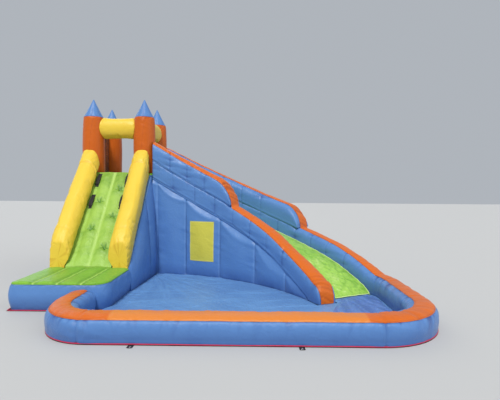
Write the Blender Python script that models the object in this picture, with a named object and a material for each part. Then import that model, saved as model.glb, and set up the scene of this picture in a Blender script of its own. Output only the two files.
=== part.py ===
"""Inflatable water slide: castle tower, climbing wall, curved slide and splash pool.

Run with blender --background --python part.py, or from Blender's text editor.
Lengths are in metres and angles in radians, with +Z up. The origin is on the ground under
the middle of the tower, with +X towards the slide and -Y towards the climber.
"""

import math

import bmesh
import bpy
from mathutils import Matrix, Vector

# Joints between pieces
seam_gap = 0.0004
lay_gap = 0.0009
floor_gap = 0.004
cut_overrun = 0.02

# Ground sheet and the piping along its edge
sheet_thickness = 0.003
sheet_lip = 0.018
piping_diameter = 0.010
piping_sides = 6
floor_thickness = 0.004

# Tower
tower_half_width = 0.565
tower_half_depth = 0.570
tower_corner_radius = 0.06
deck_height = 1.57
deck_thickness = 0.040
deck_crown = 0.010
deck_channels = 4
envelope_wall = 0.004
chamber_wall = 0.015
air_port_radius = 0.080
baffle_thickness = 0.003
baffle_count = 3
baffle_hole_radius = 0.09
baffle_margin = 0.18

# Posts, spires, beams and net above the deck
post_inset = 0.165
post_radius = 0.163
post_height = 0.862
spire_radius = 0.143
spire_height = 0.275
beam_half_height = 0.163
beam_half_depth = 0.108
beam_drop = 0.006
net_height = 0.66
net_thickness = 0.004
net_strand_width = 0.007
net_columns = 5
net_rows = 7

# Climbing wall and its rails
climb_foot_y = -1.58
rail_spread = 0.407
rail_width = 0.220
rail_height = 0.345
rail_end_radius = 0.030
rail_lean = 0.052
ramp_thickness = 0.040
ramp_crown = 0.020
ramp_margin = 0.103
ramp_seam_width = 0.040
ramp_taper = 0.030
side_flare_front = 0.035
side_flare_back = 0.085
side_bulge = 0.030
tuft_radius = 0.050
tuft_depth = 0.018
handle_length = 0.250
handle_spread = 0.217
handle_width = 0.045
handle_rise = 0.050
handle_thickness = 0.005
handle_foot = 0.035

# Step platform
platform_front_y = -2.39
platform_height = 0.32
platform_half_width = 0.525
platform_top_thickness = 0.035
platform_crown = 0.016
platform_left_radius = 0.07
platform_right_radius = 0.18
platform_bulge = 0.022
platform_channels = 4

# Slide: a lane between two guards, turning towards the pool
slide_radius = 3.05
slide_turn = math.radians(65)
lane_width = 0.60
lane_thickness = 0.070
lane_crown = 0.012
lane_tuft_depth = 0.016
guard_width = 0.270
guard_rise = 0.195
upper_guard_height = 0.285
nose_length = 0.150
wall_recess = 0.050
wall_bulge = 0.045
wall_bulge_height = 0.60

# Pool rim
rim_width = 0.310
rim_height = 0.240
rim_front_y = -3.135
rim_left_x = 0.280
rim_left_radius = 0.40
rim_right_radius = 0.58
rim_blend_radius = 0.70
strip_thickness = 0.003

# Splash mat at the foot of the lane
mat_thickness = 0.005
mat_inset = 0.040
mat_spread = 0.300

# Plain sewn patch on the wall under the slide
patch_bottom_height = 0.24
patch_top_height = 0.84
patch_thickness = 0.002

# Anchor tabs of the ground sheet, each with an eyelet hole
tab_width = 0.050
tab_length = 0.060
tab_root = 0.010
eyelet_hole_radius = 0.008

# Zip of the deflation port, on the back of the tower
zip_length = 0.34
zip_width = 0.034
zip_thickness = 0.003
zip_teeth_width = 0.008
zip_teeth_height = 0.003
zip_centre_x = -0.30
zip_centre_z = 0.42
slider_length = 0.026
slider_width = 0.018
slider_height = 0.007
slider_gap = 0.0006
pull_length = 0.045
pull_width = 0.010
pull_thickness = 0.0025

# Blower behind the tower, and the sleeve that it fills
blower_y = 1.02
drum_radius = 0.165
drum_half_width = 0.095
drum_wall = 0.004
drum_height = 0.205
intake_radius = 0.075
shell_shaft_hole_radius = 0.012
outlet_half_width = 0.060
outlet_half_height = 0.050
outlet_wall = 0.004
outlet_height = 0.112
outlet_length = 0.130
sleeve_wall = 0.003
sleeve_clearance = 0.0006
sleeve_end_gap = 0.045
strap_width = 0.025
strap_thickness = 0.0025
strap_setback = 0.050
stand_height = 0.075
stand_lift = 0.012
stand_half_length = 0.105
stand_half_width = 0.085
foot_radius = 0.014
foot_inset = 0.022
impeller_radius = 0.138
impeller_half_width = 0.072
impeller_plate = 0.004
impeller_ring_width = 0.006
impeller_ring_depth = 0.016
impeller_blades = 10
blade_length = 0.026
blade_thickness = 0.004
hub_radius = 0.018
hub_length = 0.072
shaft_radius = 0.006
shaft_clearance = 0.0006
motor_radius = 0.055
motor_length = 0.085
motor_rim = 0.006
shaft_in_motor = 0.050
grille_rim = 0.010
grille_thickness = 0.005
grille_bar = 0.005
grille_bars = 5
grip_radius = 0.009
grip_height = 0.055
grip_half_length = 0.060
switch_length = 0.062
switch_width = 0.050
switch_height = 0.042
switch_sink = 0.020
rocker_length = 0.022
rocker_width = 0.014
rocker_depth = 0.008
rocker_proud = 0.003
rocker_gap = 0.0008
rocker_well_depth = 0.016
gland_radius = 0.011
gland_tip_radius = 0.007
gland_length = 0.028
gland_bore_radius = 0.004
gland_bore_depth = 0.020

# Colours: red, green, blue, roughness, metallic
finishes = {
    "blue_fabric": (0.085, 0.215, 0.600, 0.45, 0.0),
    "pool_blue": (0.130, 0.330, 0.650, 0.40, 0.0),
    "mat_blue": (0.050, 0.130, 0.450, 0.50, 0.0),
    "orange_fabric": (0.800, 0.170, 0.020, 0.45, 0.0),
    "yellow_fabric": (0.800, 0.560, 0.060, 0.45, 0.0),
    "green_fabric": (0.330, 0.700, 0.080, 0.45, 0.0),
    "red_piping": (0.600, 0.040, 0.090, 0.50, 0.0),
    "black_webbing": (0.015, 0.015, 0.018, 0.80, 0.0),
    "yellow_patch": (0.700, 0.640, 0.080, 0.55, 0.0),
    "steel": (0.550, 0.550, 0.560, 0.30, 1.0),
    "grey_plastic": (0.220, 0.230, 0.250, 0.45, 0.0),
    "black_plastic": (0.020, 0.020, 0.022, 0.50, 0.0),
}

# Half of a sewn tube's section, from the middle of its foot to its crest, in half widths and
# half heights: a flat foot, a wall that swells a little, and a crowned top.
tube_shares = ((0.0, -1.0), (0.86, -1.0), (0.97, -0.60), (1.0, -0.12), (0.95, 0.36),
               (0.79, 0.72), (0.44, 0.94), (0.0, 1.0))
foot_share = tube_shares[1][0]
rail_lean_shares = (0.0, 0.0, 0.0, 1.0, 0.8, 0.3)
strip_reach = 2

# How far along the turn each thing on the slide is
inner_upper_share = 0.450
outer_upper_share = 0.640
block_end_share = 0.965
panel_seam_shares = (0.0, 0.030, 0.188, 0.388, 0.605, 0.805)
panel_steps = 4
patch_shares = (0.2145, 0.355)
lane_inner_shares = (1.0, 0.825, 0.672, 0.525, 0.370, 0.190, 0.035)
lane_outer_shares = (1.0, 0.800, 0.615, 0.455, 0.325, 0.200, 0.035)
tube_end_shares = (0.42, 0.74, 0.93, 0.985)
nose_taper_share = 0.20

# Profiles as shares of their pieces' sizes: radius and height of a turned piece, swell or
# flare and height of a wall, and distance from an edge and height of a pad.
post_shares = ((0.94, 0.0), (1.0, 0.06), (1.0, 0.50), (0.96, 0.86), (0.91, 1.0))
spire_shares = ((1.0, 0.0), (0.98, 0.04), (0.52, 0.50), (0.12, 0.93), (0.05, 1.0))
wall_rise_shares = (0.0, 0.2, 0.45, 0.7, 0.9, 1.0)
flare_shares = ((0.0, 1.0), (0.45, 0.80), (0.80, 0.50), (1.0, 0.20), (0.9, 0.0))
swell_shares = ((0.0, 0.0), (0.8, 0.3), (1.0, 0.6), (0.5, 0.9), (0.0, 1.0))
pad_edge_shares = ((0.0, 0.35), (0.8, 0.85), (3.0, 1.0))
side_seam_share = 0.73

# Tufts of the climbing ramp, by side and share of its length, and its handles
ramp_tuft_shares = ((1, 0.187), (-1, 0.368), (1, 0.501), (-1, 0.660), (1, 0.802))
handle_shares = (0.650, 0.900)
lane_tuft_shares = (0.28, 0.72)

# Where the anchor tabs are along the rim's front, the rim's right, the wall and the left side
front_tab_shares = (0.16, 0.73)
far_tab_share = 0.50
eyelet_share = 0.6

# Outlines of the grip and the rocker
grip_shares = ((-1.0, 0.0), (-1.0, 0.75), (-0.8, 1.0), (0.8, 1.0), (1.0, 0.75), (1.0, 0.0))
rocker_shares = ((-0.5, 0.35), (0.0, 0.0), (0.5, 0.35), (0.5, 0.9), (0.0, 0.65), (-0.5, 0.9))

# Heights, and how far the posts stand from the middle of the deck
bed_height = sheet_thickness + seam_gap
post_spread = tower_half_width - post_inset
tower_top = deck_height - deck_thickness - seam_gap
post_foot = deck_height + seam_gap
post_top = post_foot + post_height

# Slope of the climbing wall
tower_front_y = -tower_half_depth
climb_back_y = tower_front_y - seam_gap
climb_run = tower_front_y - climb_foot_y
climb_rise = deck_height - platform_height
climb_angle = math.atan2(climb_rise, climb_run)
climb_length = math.hypot(climb_run, climb_rise)
ramp_half_width = rail_spread - rail_width / 2
ramp_drop = (ramp_thickness + seam_gap) / math.cos(climb_angle)
ramp_swell_start = ramp_seam_width / 2
ramp_swell_end = ramp_half_width - ramp_margin

# Radii of the slide about the middle of its turn
lane_inner_radius = slide_radius - lane_width / 2
lane_outer_radius = slide_radius + lane_width / 2
inner_guard_radius = lane_inner_radius - guard_width / 2
outer_guard_radius = lane_outer_radius + rim_width / 2
near_wall_radius = inner_guard_radius - guard_width / 2
far_wall_radius = outer_guard_radius + rim_width / 2 - wall_recess
port_way_radius = slide_radius + lane_width / 3
far_foot_radius = outer_guard_radius + rim_width / 2 * foot_share
slide_start_x = tower_half_width + seam_gap
slide_centre_y = (tower_front_y + seam_gap
                  - near_wall_radius * math.cos(slide_turn * panel_seam_shares[1]))
slide_length = slide_radius * slide_turn


def clear_scene():
    for item in list(bpy.data.objects):
        bpy.data.objects.remove(item)


def make_materials():
    for name, (red, green, blue, roughness, metallic) in finishes.items():
        material = bpy.data.materials.new(name)
        material.use_nodes = True
        shader = material.node_tree.nodes["Principled BSDF"]
        shader.inputs["Base Color"].default_value = (red, green, blue, 1.0)
        shader.inputs["Roughness"].default_value = roughness
        shader.inputs["Metallic"].default_value = metallic
        material.diffuse_color = (red, green, blue, 1.0)


def place(name, data, finish, location=(0, 0, 0), rotation=(0, 0, 0)):
    """An object of its own for a mesh or curve, with its finish."""
    item = bpy.data.objects.new(name, data)
    bpy.context.scene.collection.objects.link(item)
    if finish and not data.materials:
        data.materials.append(bpy.data.materials[finish])
    item.location = location
    item.rotation_euler = rotation
    return item


def mesh_of(name, shape, smooth_angle=math.radians(40)):
    """A mesh from a bmesh, its faces outwards and its round parts shaded smooth."""
    bmesh.ops.recalc_face_normals(shape, faces=shape.faces)
    mesh = bpy.data.meshes.new(name)
    shape.to_mesh(mesh)
    shape.free()
    mesh.shade_smooth()
    mesh.set_sharp_from_angle(angle=smooth_angle)
    return mesh


def solid(name, shape, finish, location=(0, 0, 0)):
    return place(name, mesh_of(name, shape), finish, location)


def cut(item, name, shape, operation="DIFFERENCE"):
    """Cuts a piece with a hidden tool, or joins the tool to it."""
    tool = place(name, mesh_of(name, shape), None, item.location)
    tool.hide_render = True
    tool.display_type = "WIRE"
    modifier = item.modifiers.new(name, "BOOLEAN")
    modifier.operation = operation
    modifier.object = tool


def loft(rings, shape=None, folded=False):
    """Skins a run of closed rings of points, and closes both ends.

    Every four-sided cell is split along the same diagonal, so that pieces lofted from
    matching rings keep their gap all over. A folded ring runs out along one side of a thin
    strip and back along the other, where the diagonals are swapped so that both sides match,
    and its ends are closed cell by cell.
    """
    shape = shape or bmesh.new()
    rows = [[shape.verts.new(point) for point in ring] for ring in rings]
    count = len(rows[0])
    for row, following in zip(rows, rows[1:]):
        for k in range(count):
            beside = (k + 1) % count
            corners = [row[k], row[beside], following[beside], following[k]]
            if folded and k >= count // 2:
                corners = corners[1:] + corners[:1]
            shape.faces.new(corners[:3])
            shape.faces.new((corners[0], corners[2], corners[3]))
    for row in (rows[0][::-1], rows[-1]):
        if folded:
            for k in range(count // 2 - 1):
                shape.faces.new((row[k], row[k + 1], row[-k - 2], row[-k - 1]))
        else:
            shape.faces.new(row)
    return shape


def box(low, high, shape=None):
    """A block between two corners."""
    shape = shape or bmesh.new()
    size = Vector(high) - Vector(low)
    middle = (Vector(high) + Vector(low)) / 2
    matrix = Matrix.Translation(middle) @ Matrix.Diagonal((*size, 1))
    bmesh.ops.create_cube(shape, size=1, matrix=matrix)
    return shape


def drum(radius, length, centre, axis, sides=24, top_radius=None, shape=None):
    """A cylinder or cone along an axis, by its middle."""
    shape = shape or bmesh.new()
    turns = {"X": Matrix.Rotation(math.pi / 2, 4, "Y"), "Y": Matrix.Rotation(-math.pi / 2, 4, "X"),
             "Z": Matrix.Identity(4)}
    bmesh.ops.create_cone(shape, cap_ends=True, segments=sides, radius1=radius,
                          radius2=top_radius or radius, depth=length,
                          matrix=Matrix.Translation(centre) @ turns[axis])
    return shape


def plate(points, low, high, shape=None):
    """A flat plate with an outline, between two heights."""
    rings = [[Vector((x, y, z)) for x, y in points] for z in (low, high)]
    return loft(rings, shape)


def evenly(first, last, steps):
    return [first + (last - first) * k / steps for k in range(steps + 1)]


def circle_angles(sides):
    return evenly(0, 2 * math.pi, sides)[:-1]


def turned(profile, sides, spot=(0, 0, 0), shape=None):
    """A solid turned about the vertical, from its radii and heights."""
    rings = [[Vector(spot) + Vector((radius * math.cos(a), radius * math.sin(a), height))
              for a in circle_angles(sides)] for radius, height in profile]
    return loft(rings, shape)


def flat_ring(first_x, last_x, inner, outer, sides):
    """A flat ring about X between two radii."""
    shape = bmesh.new()
    rows = []
    for x, radius in ((first_x, inner), (first_x, outer), (last_x, outer), (last_x, inner)):
        rows.append([shape.verts.new((x, radius * math.cos(a), radius * math.sin(a)))
                     for a in circle_angles(sides)])
    for row, following in zip(rows, rows[1:] + rows[:1]):
        for k in range(sides):
            beside = (k + 1) % sides
            shape.faces.new((row[k], row[beside], following[beside], following[k]))
    return shape


def tube_section():
    """The whole closed section of a sewn tube, in half widths and half heights."""
    return list(tube_shares) + [(-u, v) for u, v in tube_shares[-2:0:-1]]


def smooth_share(table, share):
    """Reads a table of evenly spaced values along a smooth curve through them."""
    last = len(table) - 1
    spot = min(max(share, 0.0), 1.0) * last
    k = min(int(spot), last - 1)
    t = spot - k
    here, following = table[k], table[k + 1]
    slope_here = (following - table[max(k - 1, 0)]) / (2 if k > 0 else 1)
    slope_next = (table[min(k + 2, last)] - here) / (2 if k + 2 <= last else 1)
    return ((2 * t**3 - 3 * t**2 + 1) * here + (t**3 - 2 * t**2 + t) * slope_here
            + (3 * t**2 - 2 * t**3) * following + (t**3 - t**2) * slope_next)


def strip_on(rings, columns, thickness):
    """A strip of fabric laid on some columns of a lofted piece's points, by its normals."""
    strip = []
    for i, ring in enumerate(rings):
        before, after = rings[max(i - 1, 0)], rings[min(i + 1, len(rings) - 1)]
        middle = sum(ring, Vector()) / len(ring)
        lower, upper = [], []
        for k in columns:
            across = ring[k + 1] - ring[k - 1]
            normal = (after[k] - before[k]).cross(across).normalized()
            if normal.dot(ring[k] - middle) < 0:
                normal.negate()
            lower.append(ring[k] + normal * seam_gap)
            upper.append(ring[k] + normal * (seam_gap + thickness))
        strip.append(lower + upper[::-1])
    return strip


def crest_columns():
    crest = len(tube_shares) - 1
    return range(crest - strip_reach, crest + strip_reach + 1)


def draw_in(rings, row):
    """Draws an end of a tube in by the gap that keeps it off the tube that it meets."""
    inward = rings[1] if row == 0 else rings[-2]
    rings[row] = [point + (other - point).normalized() * seam_gap
                  for point, other in zip(rings[row], inward)]


def slide_point(radius, share, height=0.0):
    """A point of the slide, by its distance from the middle of the turn."""
    turn = slide_turn * share
    return Vector((slide_start_x + radius * math.sin(turn),
                   slide_centre_y + radius * math.cos(turn), height))


def slide_shares(first=0.0, last=1.0):
    """The stations between two places along the slide, which every piece on it shares.

    One of them is moved to the place where each upper guard ends.
    """
    seams = panel_seam_shares + (block_end_share,)
    stations = [0.0]
    for start, end in zip(seams[1:], seams[2:]):
        stations += evenly(start, end, panel_steps)[:-1]
    for bare in (bare_share(True), bare_share(False)):
        nearest = min(range(len(stations)), key=lambda k: abs(stations[k] - bare))
        stations[nearest] = bare
    stations += [block_end_share, block_end_share + 2 * seam_gap / slide_length,
                 (block_end_share + 1) / 2, 1.0]
    return [first] + [share for share in stations if first < share < last] + [last]


def bare_share(inner):
    """Where a lower guard comes out from under the end of the upper one."""
    return (inner_upper_share if inner else outer_upper_share) + strip_thickness / slide_length


def lane_top(share, inner):
    """Height of the lane's surface beside its inner or its outer guard, straight in stations."""
    table = lane_inner_shares if inner else lane_outer_shares
    stations = slide_shares()
    for before, after in zip(stations, stations[1:]):
        if share <= after:
            break
    t = (share - before) / (after - before)
    return deck_height * (smooth_share(table, before) * (1 - t) + smooth_share(table, after) * t)


def support_top(share, inner):
    """Height of the blocks under the lane, or of the ground sheet past their end."""
    if share > block_end_share:
        return bed_height
    return lane_top(share, inner) - lane_thickness


def guard_ring(inner, low, high, share, size=1.0):
    """The section of a guard tube at one place along the slide."""
    radius = inner_guard_radius if inner else outer_guard_radius
    half_width = ((guard_width if inner else rim_width) / 2 - seam_gap) * size
    middle, half_height = (low + high) / 2, (high - low) / 2
    return [slide_point(radius + half_width * u, share, middle + half_height * v)
            for u, v in tube_section()]


def lower_guard_rings(inner, first_share=0.0):
    """Sections of a lower guard, which stands on the blocks and then on the ground sheet."""
    rings = [guard_ring(inner, support_top(share, inner) + lay_gap,
                        lane_top(share, inner) + guard_rise, share)
             for share in slide_shares(first_share)]
    return rings + nose_rings() if inner else rings


def nose_rings():
    """The rounded end of the inner guard, which stands in the pool and drops to its floor."""
    low = bed_height + lay_gap
    height = lane_top(1.0, True) + guard_rise - low
    reach = nose_length / (inner_guard_radius * slide_turn)
    return [guard_ring(True, low, low + height * math.sqrt(1 - out**2), 1 + reach * out,
                       1 - nose_taper_share * out**2) for out in tube_end_shares]


def upper_guard_rings(inner):
    """Sections of an upper guard, which rides on the lower one and ends in a rounded drop."""
    end_share = inner_upper_share if inner else outer_upper_share
    fall = upper_guard_height / (inner_guard_radius if inner else outer_guard_radius) / slide_turn
    sizes = [(share, 1.0) for share in slide_shares(0.0, end_share - fall)]
    sizes += [(end_share - fall * (1 - out), math.sqrt(1 - out**2)) for out in tube_end_shares]
    rings = []
    for share, size in sizes:
        low = lane_top(share, inner) + guard_rise + lay_gap
        rings.append(guard_ring(inner, low, low + upper_guard_height * size, share))
    return rings


def make_guards():
    """Lower and upper guards of both sides, each with its orange top strip."""
    for side, inner in (("inner", True), ("outer", False)):
        lower = lower_guard_rings(inner)
        if not inner:
            draw_in(lower, -1)
        upper = upper_guard_rings(inner)
        solid(side + "_guard_lower", loft(lower), "blue_fabric")
        solid(side + "_guard_upper", loft(upper), "blue_fabric")
        bare = lower_guard_rings(inner, bare_share(inner))
        draw_in(bare, -1)
        strip = strip_on(upper, crest_columns(), strip_thickness)
        strip += strip_on(bare, crest_columns(), strip_thickness)
        solid(side + "_guard_strip", loft(strip, folded=True), "orange_fabric")


def wall_offset(share, rise):
    """How far the slide's wall stands out of its foot line: panels that swell between seams."""
    seams = panel_seam_shares + (block_end_share,)
    swell = 0.0
    for first, last in zip(seams[1:], seams[2:]):
        if first < share < last:
            swell = math.sin(math.pi * (share - first) / (last - first))
    swell *= min(lane_top(share, True) / wall_bulge_height, 1.0)
    return wall_bulge * swell * math.sin(math.pi * rise**0.8) - wall_recess * rise**3


def block_ring(share, inset=0.0):
    """Section of the block under the lane: near wall, top and far wall."""
    low = bed_height + inset
    near_top, far_top = support_top(share, True) - inset, support_top(share, False) - inset
    near = [slide_point(near_wall_radius + inset - wall_offset(share, rise), share,
                        low + (near_top - low) * rise) for rise in wall_rise_shares]
    far = [slide_point(far_wall_radius - inset + wall_offset(share, rise), share,
                       low + (far_top - low) * rise) for rise in wall_rise_shares]
    near_foot = (guard_width / 2 - seam_gap) * foot_share
    far_foot = (rim_width / 2 - seam_gap) * foot_share
    top = [slide_point(radius, share, near_top)
           for radius in (inner_guard_radius, inner_guard_radius + near_foot, lane_inner_radius)]
    top += [slide_point(radius, share, far_top)
            for radius in (lane_outer_radius, outer_guard_radius - far_foot, outer_guard_radius)]
    return near + top + far[::-1]


def block_rings(first, last):
    """Sections of the blocks between two seams, short of each by half a gap."""
    gap = seam_gap / (near_wall_radius * slide_turn)
    shares = slide_shares(first, last)
    shares[0] += gap if first > 0 else 0
    shares[-1] -= gap
    return [block_ring(share) for share in shares]


def chamber_rings(first, last):
    """Sections of a block's air space, as far as the block is deep enough to have one."""
    margin = chamber_wall / (near_wall_radius * slide_turn)
    shares = slide_shares(first + margin, last - margin)
    return [block_ring(share, chamber_wall) for share in shares
            if support_top(share, True) > 2 * air_port_radius]


def slide_port(share):
    """The opening in the seam between two chambers of the slide, which lets the air through."""
    reach = 2 * chamber_wall / slide_length
    height = support_top(share, True) / 2
    rings = [[slide_point(port_way_radius + air_port_radius * math.cos(a), spot,
                          height + air_port_radius * math.sin(a)) for a in circle_angles(10)]
             for spot in (share - reach, share + reach)]
    return loft(rings)


def make_blocks():
    """Quilted hollow blocks that carry the lane, sewn together at their seams."""
    seams = panel_seam_shares + (block_end_share,)
    for number, (first, last) in enumerate(((0, 2), (2, 3), (3, 4), (4, 6)), 1):
        block = solid(f"slide_block_{number}", loft(block_rings(seams[first], seams[last])),
                      "blue_fabric")
        cut(block, "air_space", loft(chamber_rings(seams[first], seams[last])))
        cut(block, "air_port", slide_port(seams[first]))
        if number < 4:
            cut(block, "next_air_port", slide_port(seams[last]))


def make_patch():
    """A plain patch that follows the swell of the wall's second panel."""
    rings = block_rings(*panel_seam_shares[2:4])
    columns = range(1, len(wall_rise_shares) - 1)
    patch = solid("wall_patch", loft(strip_on(rings, columns, patch_thickness), folded=True),
                  "yellow_patch")
    left, right = (slide_point(near_wall_radius, share) for share in patch_shares)
    window = box((left.x, slide_centre_y, patch_bottom_height),
                 (right.x, 0, patch_top_height))
    cut(patch, "patch_window", window, "INTERSECT")


def lane_swell(row, across):
    """Crown of the lane, with a sewn tuft in alternate rows, left and right in turn."""
    swell = lane_crown * math.sin(math.pi * across)
    if row % 2 and across == lane_tuft_shares[row // 2 % 2]:
        swell -= lane_tuft_depth
    return swell


def make_lane():
    """The lane between the guards, crowned and tufted, down to the pool."""
    inside, outside = lane_inner_radius + seam_gap, lane_outer_radius - seam_gap
    rings = []
    for row, share in enumerate(slide_shares()):
        inner_high, outer_high = lane_top(share, True), lane_top(share, False)
        ring = [slide_point(inside, share, support_top(share, True) + lay_gap),
                slide_point(outside, share, support_top(share, False) + lay_gap)]
        for across in (1.0, lane_tuft_shares[1], 0.5, lane_tuft_shares[0], 0.0):
            height = inner_high + (outer_high - inner_high) * across + lane_swell(row, across)
            ring.append(slide_point(inside + (outside - inside) * across, share, height))
        rings.append(ring)
    solid("slide_lane", loft(rings), "green_fabric")


def arc_stations(centre, radius, first, last, steps):
    """Stations along an arc, by the angle from +X."""
    found = []
    for angle in evenly(first, last, steps):
        outward = Vector((math.cos(angle), math.sin(angle), 0))
        found.append((centre + outward * radius, outward))
    return found


def rim_stations():
    """Middle line of the pool rim, from the step platform round to the outer guard.

    Each station is a place and the unit vector that points out of the pool.
    """
    joint = slide_point(outer_guard_radius, 1.0)
    heading = Vector((math.sin(slide_turn), math.cos(slide_turn), 0))
    blend_centre = joint - heading * rim_blend_radius
    right_x = blend_centre.x + rim_blend_radius
    start = Vector((rim_left_x, platform_front_y - platform_bulge - seam_gap, 0))
    left_centre = Vector((rim_left_x + rim_left_radius, rim_front_y + rim_left_radius, 0))
    right_centre = Vector((right_x - rim_right_radius, rim_front_y + rim_right_radius, 0))
    left = [(start, Vector((-1, 0, 0)))]
    left += arc_stations(left_centre, rim_left_radius, math.pi, 1.5 * math.pi, 7)
    front = [(Vector((x, rim_front_y, 0)), Vector((0, -1, 0)))
             for x in evenly(left_centre.x, right_centre.x, 4)]
    right = arc_stations(right_centre, rim_right_radius, 1.5 * math.pi, 2 * math.pi, 7)
    right += arc_stations(blend_centre, rim_blend_radius, 0, math.pi / 2 - slide_turn, 3)
    return left, front, right


def rim_ring(spot, outward):
    half_width = rim_width / 2 - seam_gap
    low = bed_height + seam_gap
    middle, half_height = (low + rim_height) / 2, (rim_height - low) / 2
    return [spot + outward * half_width * u + Vector((0, 0, middle + half_height * v))
            for u, v in tube_section()]


def make_rim():
    """The pool rim in three runs, with the orange strip along its crest."""
    left, front, right = rim_stations()
    for name, stations in (("rim_left", left), ("rim_front", front), ("rim_right", right)):
        rings = [rim_ring(*station) for station in stations]
        draw_in(rings, 0)
        draw_in(rings, -1)
        solid(name, loft(rings), "blue_fabric")
    rings = [rim_ring(*station) for station in left + front[1:] + right[1:]]
    draw_in(rings, -1)
    strip = loft(strip_on(rings, crest_columns(), strip_thickness), folded=True)
    solid("rim_strip", strip, "orange_fabric")


def foot_line(stations, offset):
    """Points beside the rim's middle line, by a distance out of the pool."""
    return [tuple((spot + outward * offset).xy) for spot, outward in stations]


def climb_half_width(y):
    """Half width of the climbing block at its top edge."""
    return ramp_half_width + rail_width + ramp_taper * (y - climb_foot_y) / climb_run


def side_flare(y):
    """How far the foot of the climbing block stands out of its top edge."""
    share = (y - climb_foot_y) / climb_run
    return side_flare_front + (side_flare_back - side_flare_front) * share


def side_reach(y, flare, rise):
    """Half width of the climbing block at a height: a flared side, swelling between seams."""
    share = (y - climb_foot_y) / climb_run
    first, last = (0.0, side_seam_share) if share < side_seam_share else (side_seam_share, 1.0)
    swell = math.sin(math.pi * (share - first) / (last - first)) * math.sin(math.pi * rise)
    return climb_half_width(y) + side_flare(y) * flare + side_bulge * max(swell, 0.0)


def climb_foot_x(y):
    return side_reach(y, flare_shares[-1][0], 0.0)


def platform_outline(grow):
    """The step platform's outline: round corners in front and a flat back."""
    half, front = platform_half_width + grow, platform_front_y - grow
    left, right = platform_left_radius, platform_right_radius
    points = [(half, climb_foot_y - seam_gap), (-half, climb_foot_y - seam_gap)]
    points += arc_points(-half + left, front + left, left, math.pi, 4)
    points += arc_points(half - right, front + right, right, 1.5 * math.pi, 6)
    return points


def arc_points(x, y, radius, first, steps):
    """A quarter circle about a centre."""
    return [(x + radius * math.cos(a), y + radius * math.sin(a))
            for a in evenly(first, first + math.pi / 2, steps)]


def sheet_outline(lip):
    """The feet of everything that stands on the ground sheet, grown by a lip."""
    left, front, right = rim_stations()
    foot = rim_width / 2 * foot_share + lip
    points = [(rim_left_x - foot, platform_front_y - lip)]
    points += foot_line(left[1:] + front[1:] + right[1:], foot)
    points += [tuple(slide_point(far_foot_radius + lip, share).xy) for share in evenly(1, 0, 12)]
    side_x, back_y = tower_half_width + lip, tower_half_depth + lip
    points += [(side_x, back_y), (-side_x, back_y), (-side_x, tower_front_y + lip)]
    points += [(-climb_foot_x(tower_front_y) - lip, tower_front_y + lip),
               (-climb_foot_x(climb_foot_y) - lip, climb_foot_y)]
    points += [(-platform_half_width - lip, platform_front_y - lip)]
    return points


def tab_places():
    """Where the anchor tabs leave the edge of the ground sheet, and which way they point."""
    left, front, right = rim_stations()
    edge = rim_width / 2 * foot_share + sheet_lip
    ends = front[0][0], front[-1][0]
    places = [(ends[0].lerp(ends[1], share) + Vector((0, -edge, 0)), Vector((0, -1, 0)))
              for share in front_tab_shares]
    spot, outward = right[7]
    places.append((spot + outward * edge, outward))
    side_x = platform_half_width + sheet_lip
    step = Vector((-side_x, platform_front_y + (climb_foot_y - platform_front_y) / 2, 0))
    places.append((step, Vector((-1, 0, 0))))
    places.append((Vector((-tower_half_width - sheet_lip, 0, 0)), Vector((-1, 0, 0))))
    outward = Vector((math.sin(slide_turn * far_tab_share), math.cos(slide_turn * far_tab_share), 0))
    places.append((slide_point(far_foot_radius + sheet_lip, far_tab_share), outward))
    return places


def make_sheet_and_piping():
    """The ground sheet with its anchor tabs, and the piping along its edge."""
    sheet = solid("ground_sheet", plate(sheet_outline(sheet_lip), 0, sheet_thickness),
                  "black_webbing")
    tabs, holes = bmesh.new(), bmesh.new()
    for spot, outward in tab_places():
        aside = Vector((-outward.y, outward.x, 0)) * tab_width / 2
        inner, outer = spot - outward * tab_root, spot + outward * tab_length
        corners = [inner - aside, outer - aside, outer + aside, inner + aside]
        plate([tuple(corner.xy) for corner in corners], 0, sheet_thickness, tabs)
        drum(eyelet_hole_radius, cut_overrun, spot + outward * tab_length * eyelet_share, "Z", 8,
             shape=holes)
    cut(sheet, "anchor_tabs", tabs, "UNION")
    cut(sheet, "eyelet_holes", holes)
    curve = bpy.data.curves.new("base_piping", "CURVE")
    curve.dimensions = "3D"
    curve.bevel_depth = piping_diameter / 2
    curve.bevel_resolution = piping_sides // 2 - 2
    path = sheet_outline(sheet_lip - piping_diameter / 2)
    spline = curve.splines.new("POLY")
    spline.points.add(len(path) - 1)
    height = bed_height + piping_diameter / 2 * math.cos(math.pi / piping_sides)
    for point, (x, y) in zip(spline.points, path):
        point.co = (x, y, height, 1)
    spline.use_cyclic_u = True
    place("base_piping", curve, "red_piping")


def make_pool_floor():
    """The floor sheet, cut to the foot lines of everything round the pool."""
    left, front, right = rim_stations()
    gap = floor_gap
    inner_foot = -(rim_width / 2 * foot_share + gap)
    points = foot_line(left + front[1:] + right[1:], inner_foot)
    points.append(tuple(slide_point(lane_outer_radius - gap, 1 + gap / slide_length).xy))
    points.append(tuple(slide_point(lane_inner_radius + gap, 1 + gap / slide_length).xy))
    toe = 1 + (nose_length + gap) / (inner_guard_radius * slide_turn)
    points.append(tuple(slide_point(lane_inner_radius + gap, toe).xy))
    points.append(tuple(slide_point(near_wall_radius - gap, toe).xy))
    shares = slide_shares(panel_seam_shares[1])[::-1]
    points += [tuple(slide_point(near_wall_radius - gap, share).xy) for share in shares]
    points += [(climb_foot_x(y) + gap, y) for y in (tower_front_y - gap, climb_foot_y)]
    points += platform_outline(gap)[-7:][::-1]
    points[0] = (points[0][0], platform_front_y - gap)
    solid("pool_floor", plate(points, bed_height, bed_height + floor_thickness), "pool_blue")


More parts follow.
